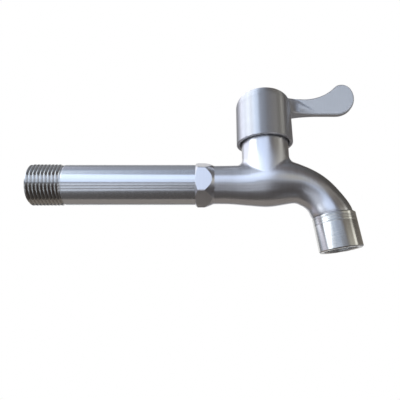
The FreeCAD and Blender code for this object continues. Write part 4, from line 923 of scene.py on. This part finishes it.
# %% A line down the waterway
NECK_X = 119.2 * MM
BARREL_START = np.array((70 * MM, 0.0))
BARREL_END = np.array((NECK_X - 8 * MM, 0.0))
BEND_START = np.array((NECK_X + 8 * MM, -1.0 * MM))
BEND_CORNER = np.array((149.5 * MM, 0.5 * MM))
SPOUT_END = np.array((151.5 * MM, -15.8 * MM))
BEND_POINTS = 40
LINE_POINTS = 500
REACH_BEYOND = 0.6
share = np.linspace(0.0, 1.0, BEND_POINTS)[:, None]
bend = (1 - share) ** 2 * BEND_START + 2 * share * (1 - share) * BEND_CORNER + share**2 * SPOUT_END
beyond = SPOUT_END + (SPOUT_END - BEND_CORNER) * REACH_BEYOND
line = np.vstack([BARREL_START, BARREL_END, bend, beyond])
steps = np.linalg.norm(np.diff(line, axis=0), axis=1)
so_far = np.concatenate([[0.0], np.cumsum(steps)])
fine = np.linspace(0.0, so_far[-1], LINE_POINTS)
fine_line = np.column_stack([np.interp(fine, so_far, line[:, 0]), np.interp(fine, so_far, line[:, 1])])
fine_way = unit(np.gradient(fine_line, axis=0))
print("waterway length in mm:", round(so_far[-1] / MM, 1))

# %% [markdown]
# The grain of the cast body
#
# Each point takes the direction of the nearest place on the line, and is given its
# distance along the line and how far it lies above it. The neck above the belly has
# its own upright line, and between 8 and 17 mm above the axis one gives way to the
# other, where the two forms flow together.

# %% The grain of the cast body
NECK_ZONE = 16 * MM
NECK_FOOT = 8 * MM
NECK_BLEND = 9 * MM
cast_spots = spots_of(cast_skin.data)
gaps = np.linalg.norm(cast_spots[:, None, [0, 2]] - fine_line[None, :, :], axis=2)
nearest = gaps.argmin(axis=1)
way = fine_way[nearest]
aside = cast_spots[:, [0, 2]] - fine_line[nearest]
over = aside[:, 1] * way[:, 0] - aside[:, 0] * way[:, 1]
past = (aside * way).sum(axis=1)
up_share = np.clip((cast_spots[:, 2] - NECK_FOOT) / NECK_BLEND, 0.0, 1.0)
up_share = np.where(np.abs(cast_spots[:, 0] - NECK_X) < NECK_ZONE, up_share, 0.0)
neck_share = up_share[:, None]
path_way = np.column_stack([way[:, 0], np.zeros(len(way)), way[:, 1]])
up_way = np.tile((0.0, 0.0, 1.0), (len(way), 1))
keep_vectors(cast_skin.data, "spread", unit(path_way * (1 - neck_share) + up_way * neck_share))
across_grain = (fine[nearest] + past) * (1 - up_share) + cast_spots[:, 2] * up_share
keep_vectors(cast_skin.data, "grain", np.column_stack([across_grain, cast_spots[:, 1], over]))
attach(cast_skin, "body")
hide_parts("tap_body")
pipe_and_body.objects.link(cast_skin)
print("points on the neck:", int((up_share > 0.5).sum()), "of", len(cast_spots))

# %% [markdown]
# The grain of the lever
#
# The cap was brushed as it turned, so its scratches run round it and its reflections
# stretch up and down. The blade was brushed across its length. One gives way to the
# other in the first 4 mm of the blade's root.

# %% The grain of the lever
ROOT_START = NECK_X + 15.5 * MM
ROOT_BLEND = 4 * MM
lever_spots = spots_of(lever_skin.data)
blade_share = np.clip((lever_spots[:, [0]] - ROOT_START) / ROOT_BLEND, 0.0, 1.0)
along_blade = np.tile((1.0, 0.0, 0.0), (len(lever_spots), 1))
upward = np.tile((0.0, 0.0, 1.0), (len(lever_spots), 1))
keep_vectors(lever_skin.data, "spread", unit(upward * (1 - blade_share) + along_blade * blade_share))
across_lever = lever_spots[:, [2]] * (1 - blade_share) + lever_spots[:, [0]] * blade_share
keep_vectors(lever_skin.data, "grain", np.column_stack([across_lever, lever_spots[:, 1:]]))
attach(lever_skin, "lever")
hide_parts("lever_handle")
lever_only.objects.link(lever_skin)
print("points on the blade:", int((blade_share > 0.5).sum()), "of", len(lever_spots))

# %% [markdown]
# The nozzle
#
# The nozzle is turned from bar: it has crisp small chamfers and, near its top, a
# few faint rings where the tool paused. It is a lathe piece whose profile is the
# solid's own, with the rings added as shallow dips. The profile is in millimetres
# from the nozzle's top, and is laid on the spout's leaning axis afterwards.

# %% The nozzle
NOZZLE_TILT = math.radians(7.6)
NOZZLE_TOP = np.array((151.547, 0.0, -15.754)) * MM
NOZZLE_WAY = np.array((math.sin(NOZZLE_TILT), 0.0, -math.cos(NOZZLE_TILT)))
NOZZLE_COLUMNS = 128
OUTSIDE, THREAD_BORE, MOUTH = 10.5, 9.05, 7.9
TOP, LEDGE, TIP = 0.1, 13.85, 17.6
CHAMFER = 0.5
RINGS = (1.9, 2.6, 3.3, 4.6)
RING_WIDTH, RING_DEPTH = 0.12, 0.04
nozzle_profile = [(TOP, THREAD_BORE), (TOP, OUTSIDE - CHAMFER), (TOP + CHAMFER, OUTSIDE)]
for ring in RINGS:
    nozzle_profile += [(ring - RING_WIDTH, OUTSIDE), (ring, OUTSIDE - RING_DEPTH)]
    nozzle_profile += [(ring + RING_WIDTH, OUTSIDE)]
nozzle_profile += [(TIP - CHAMFER, OUTSIDE), (TIP, OUTSIDE - CHAMFER), (TIP, MOUTH + CHAMFER)]
nozzle_profile += [(TIP - CHAMFER, MOUTH), (LEDGE, MOUTH), (LEDGE, THREAD_BORE)]
metre_profile = [(along_axis * MM, radius * MM) for along_axis, radius in nozzle_profile]
nozzle_points, nozzle_faces = turned_rows(metre_profile, NOZZLE_COLUMNS, closed=True)
sideways = np.array((math.cos(NOZZLE_TILT), 0.0, math.sin(NOZZLE_TILT)))
to_left = np.array((0.0, 1.0, 0.0))
placed = NOZZLE_TOP + np.array(nozzle_points) @ np.array((NOZZLE_WAY, to_left, sideways))
nozzle_mesh = bpy.data.meshes.new("turned_nozzle")
nozzle_mesh.from_pydata(placed.tolist(), [], nozzle_faces)
nozzle_mesh.materials.append(turned_steel)
turned_nozzle = finished(nozzle_mesh, "turned_nozzle", sharp=20)
nozzle_spots = spots_of(nozzle_mesh)
nozzle_along = (nozzle_spots - NOZZLE_TOP) @ NOZZLE_WAY
nozzle_side = (nozzle_spots - NOZZLE_TOP) @ sideways
keep_vectors(nozzle_mesh, "grain", np.column_stack([nozzle_along, nozzle_side, nozzle_spots[:, 1]]))
keep_vectors(nozzle_mesh, "spread", np.tile(NOZZLE_WAY, (len(nozzle_along), 1)))
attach(turned_nozzle, "nozzle")
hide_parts("outlet_nozzle")

# %% [markdown]
# The aerator's mesh
#
# Behind the nozzle's mouth sits a disc of woven wire that breaks the jet. In a plain
# weave each wire goes over one neighbour and under the next, so its height is a
# cosine of its place along it, turned over from wire to wire. A flat picture of a
# weave would need no wires, but it would lose the light that shines through the
# holes. The tree's sums give each wire its chord of the disc and its wave.

# %% The weave in sums
WIRES_BESIDE = 7
# Wires that cross keep a fiftieth of their thickness apart.
WEAVE_ROOM = 1.02
woven_tree = bpy.data.node_groups.new("woven_mesh", "GeometryNodeTree")
woven_sizes = {"Disc radius": 7.35 * MM, "Wire pitch": 1.0 * MM, "Wire radius": 0.12 * MM}
woven_sockets = named_inputs(woven_tree, woven_sizes)
woven = add_node(woven_tree, "NodeGroupInput").outputs
wire_spot = add_node(woven_tree, "GeometryNodeInputPosition").outputs["Position"]
wire_parts = add_node(woven_tree, "ShaderNodeSeparateXYZ", {"Vector": wire_spot}).outputs
weave = {name: woven[name] for name in woven_sizes}
weave.update({"x": wire_parts["X"], "y": wire_parts["Y"]})
weave_sums = (
    ("first wire", "MULTIPLY", "Wire pitch", -float(WIRES_BESIDE)),
    ("y squared", "MULTIPLY", "y", "y"),
    ("disc squared", "MULTIPLY", "Disc radius", "Disc radius"),
    ("half chord squared", "SUBTRACT", "disc squared", "y squared"),
    ("half chord", "SQRT", "half chord squared"),
    ("chord", "MULTIPLY", "half chord", 2.0),
    ("diagonal", "ADD", "x", "y"),
    ("diagonal in half turns", "MULTIPLY", "diagonal", math.pi),
    ("phase", "DIVIDE", "diagonal in half turns", "Wire pitch"),
    ("reach", "MULTIPLY", "Wire radius", WEAVE_ROOM),
    ("wave", "COSINE", "phase"),
    ("height", "MULTIPLY", "wave", "reach"),
)
for made, operation, *terms in weave_sums:
    inputs = {place: weave.get(term, term) for place, term in enumerate(terms)}
    weave[made] = add_node(woven_tree, "ShaderNodeMath", inputs, operation=operation).outputs[0]
print("sums in the weave:", len(weave_sums))

# %% [markdown]
# Lay out one set of wires
#
# The wires start as points in a row, one pitch apart. A straight line of length 1 is
# set on each and stretched to its chord.

# %% Lay out one set of wires
first_place = add_node(woven_tree, "ShaderNodeCombineXYZ", {"Y": weave["first wire"]}).outputs["Vector"]
wire_step = add_node(woven_tree, "ShaderNodeCombineXYZ", {"Y": weave["Wire pitch"]}).outputs["Vector"]
wire_places = add_node(
    woven_tree,
    "GeometryNodeMeshLine",
    {"Count": 2 * WIRES_BESIDE + 1, "Start Location": first_place, "Offset": wire_step},
    mode="OFFSET",
).outputs["Mesh"]
straight = add_node(
    woven_tree, "GeometryNodeCurvePrimitiveLine", {"Start": (-0.5, 0.0, 0.0), "End": (0.5, 0.0, 0.0)}
).outputs["Curve"]
wire_scale = add_node(woven_tree, "ShaderNodeCombineXYZ", {"X": weave["chord"], "Y": 1.0, "Z": 1.0})
laid_wires = add_node(
    woven_tree,
    "GeometryNodeInstanceOnPoints",
    {"Points": wire_places, "Instance": straight, "Scale": wire_scale.outputs["Vector"]},
).outputs["Instances"]
print("wires each way:", 2 * WIRES_BESIDE + 1)

# %% [markdown]
# Weave the wires
#
# The cut wires are divided finely, waved, and given their thickness. A copy turned
# upside down and a quarter round is the crossing set: where the first set dips, it
# rises.

# %% Weave the wires
WIRE_POINTS = 90
WIRE_SIDES = 6
cut_wires = add_node(
    woven_tree, "GeometryNodeRealizeInstances", {"Geometry": laid_wires}
).outputs["Geometry"]
fine_wires = add_node(
    woven_tree, "GeometryNodeResampleCurve", {"Curve": cut_wires, "Count": WIRE_POINTS}
).outputs["Curve"]
wire_lift = add_node(woven_tree, "ShaderNodeCombineXYZ", {"Z": weave["height"]}).outputs["Vector"]
waved_wires = add_node(
    woven_tree, "GeometryNodeSetPosition", {"Geometry": fine_wires, "Offset": wire_lift}
).outputs["Geometry"]
wire_round = add_node(
    woven_tree,
    "GeometryNodeCurvePrimitiveCircle",
    {"Resolution": WIRE_SIDES, "Radius": woven["Wire radius"]},
).outputs["Curve"]
one_set = add_node(
    woven_tree,
    "GeometryNodeCurveToMesh",
    {"Curve": waved_wires, "Profile Curve": wire_round, "Fill Caps": True},
).outputs["Mesh"]
crossing_set = add_node(
    woven_tree, "GeometryNodeTransform", {"Geometry": one_set, "Rotation": (math.pi, 0.0, math.pi / 2)}
).outputs["Geometry"]
both_sets = add_node(woven_tree, "GeometryNodeJoinGeometry", {"Geometry": one_set})
woven_tree.links.new(crossing_set, both_sets.inputs["Geometry"])
woven_solid = add_node(
    woven_tree, "GeometryNodeRealizeInstances", {"Geometry": both_sets.outputs["Geometry"]}
).outputs["Geometry"]
woven_steeled = add_node(
    woven_tree, "GeometryNodeSetMaterial", {"Geometry": woven_solid, "Material": woven["Steel"]}
).outputs["Geometry"]
add_node(woven_tree, "NodeGroupOutput", {"Geometry": woven_steeled})
print("weave tree nodes:", len(woven_tree.nodes))

# %% [markdown]
# Set the disc in the aerator
#
# The tree weaves the disc flat at the origin. Its corners are then moved to the
# middle of the solid that it stands for, square to the spout's leaning axis.

# %% Set the disc in the aerator
woven_settings = {woven_sockets[name]: value for name, value in woven_sizes.items()}
woven_settings[woven_sockets["Steel"]] = wire_steel
woven_flat = mesh_from_tree(woven_tree, woven_settings, "woven_mesh")
disc_low, disc_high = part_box("aerator_mesh")
disc_middle = 0.5 * (np.array(disc_low) + np.array(disc_high))
woven_spots = disc_middle + spots_of(woven_flat) @ np.array((sideways, to_left, -NOZZLE_WAY))
woven_flat.vertices.foreach_set("co", woven_spots.reshape(-1))
woven_mesh = finished(woven_flat, "woven_wires", sharp=50)
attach(woven_mesh, "aerator")
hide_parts("aerator_mesh")

# %% [markdown]
# Materials of the parts inside
#
# The cartridge, its seals and the aerator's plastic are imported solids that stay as
# they are. Brass and hardware are turned, so they get rings of tool marks. The
# lapped ceramic is nearly smooth, rubber and acetal keep the fine grain of their
# moulds, and the pressed fibre is rough and uneven. Each colour wanders between a
# dark and a pale one. The five solids that are replaced get the steel of what
# replaces them.

# %% Materials of the parts inside
# Tool marks are about 0.1 mm apart and ceramic grains far finer: both are drawn coarser, to show at all.
brass = grained("turned_brass", "#B58A45", "#D3AC62", rough=0.28, grain=0.25, metallic=1.0, turned=True)
ceramic = grained("lapped_alumina", "#E6E3DA", "#F3F1EB", rough=0.24, grain=0.3, bump=0.05)
rubber = grained("moulded_nitrile_rubber", "#141415", "#222223", rough=0.6, grain=0.5)
fibre = grained("pressed_red_fibre", "#6B281B", "#8E3E2B", rough=0.82, grain=0.4, bump=0.6)
acetal = grained("moulded_acetal", "#DFDED8", "#EFEEE9", rough=0.42, grain=1.2)
hardware = grained(
    "plain_stainless_hardware", "#A5A6A9", "#C0C1C4", rough=0.32, grain=0.3, metallic=1.0, turned=True
)
grey_abs = grained("moulded_grey_abs", "#6F7175", "#7F8185", rough=0.4, grain=0.6)
material_of = {
    "headwork_body": brass,
    "spindle": brass,
    "spline_insert": brass,
    "fixed_ceramic_disc": ceramic,
    "moving_ceramic_disc": ceramic,
    "seat_seal": rubber,
    "spindle_o_rings": rubber,
    "nozzle_washer": rubber,
    "headwork_gasket": fibre,
    "glide_washer": acetal,
    "aerator_insert": acetal,
    "spray_plate": acetal,
    "handle_screw": hardware,
    "screw_spring_washer": hardware,
    "retaining_clip": hardware,
    "top_plug": grey_abs,
    "aerator_mesh": wire_steel,
    "inlet_pipe": pipe_steel,
    "tap_body": cast_steel,
    "lever_handle": lever_steel,
    "outlet_nozzle": turned_steel,
}
for name, node in nodes.items():
    node.data.materials.clear()
    node.data.materials.append(material_of[name])
print("nodes with a material:", len(nodes))
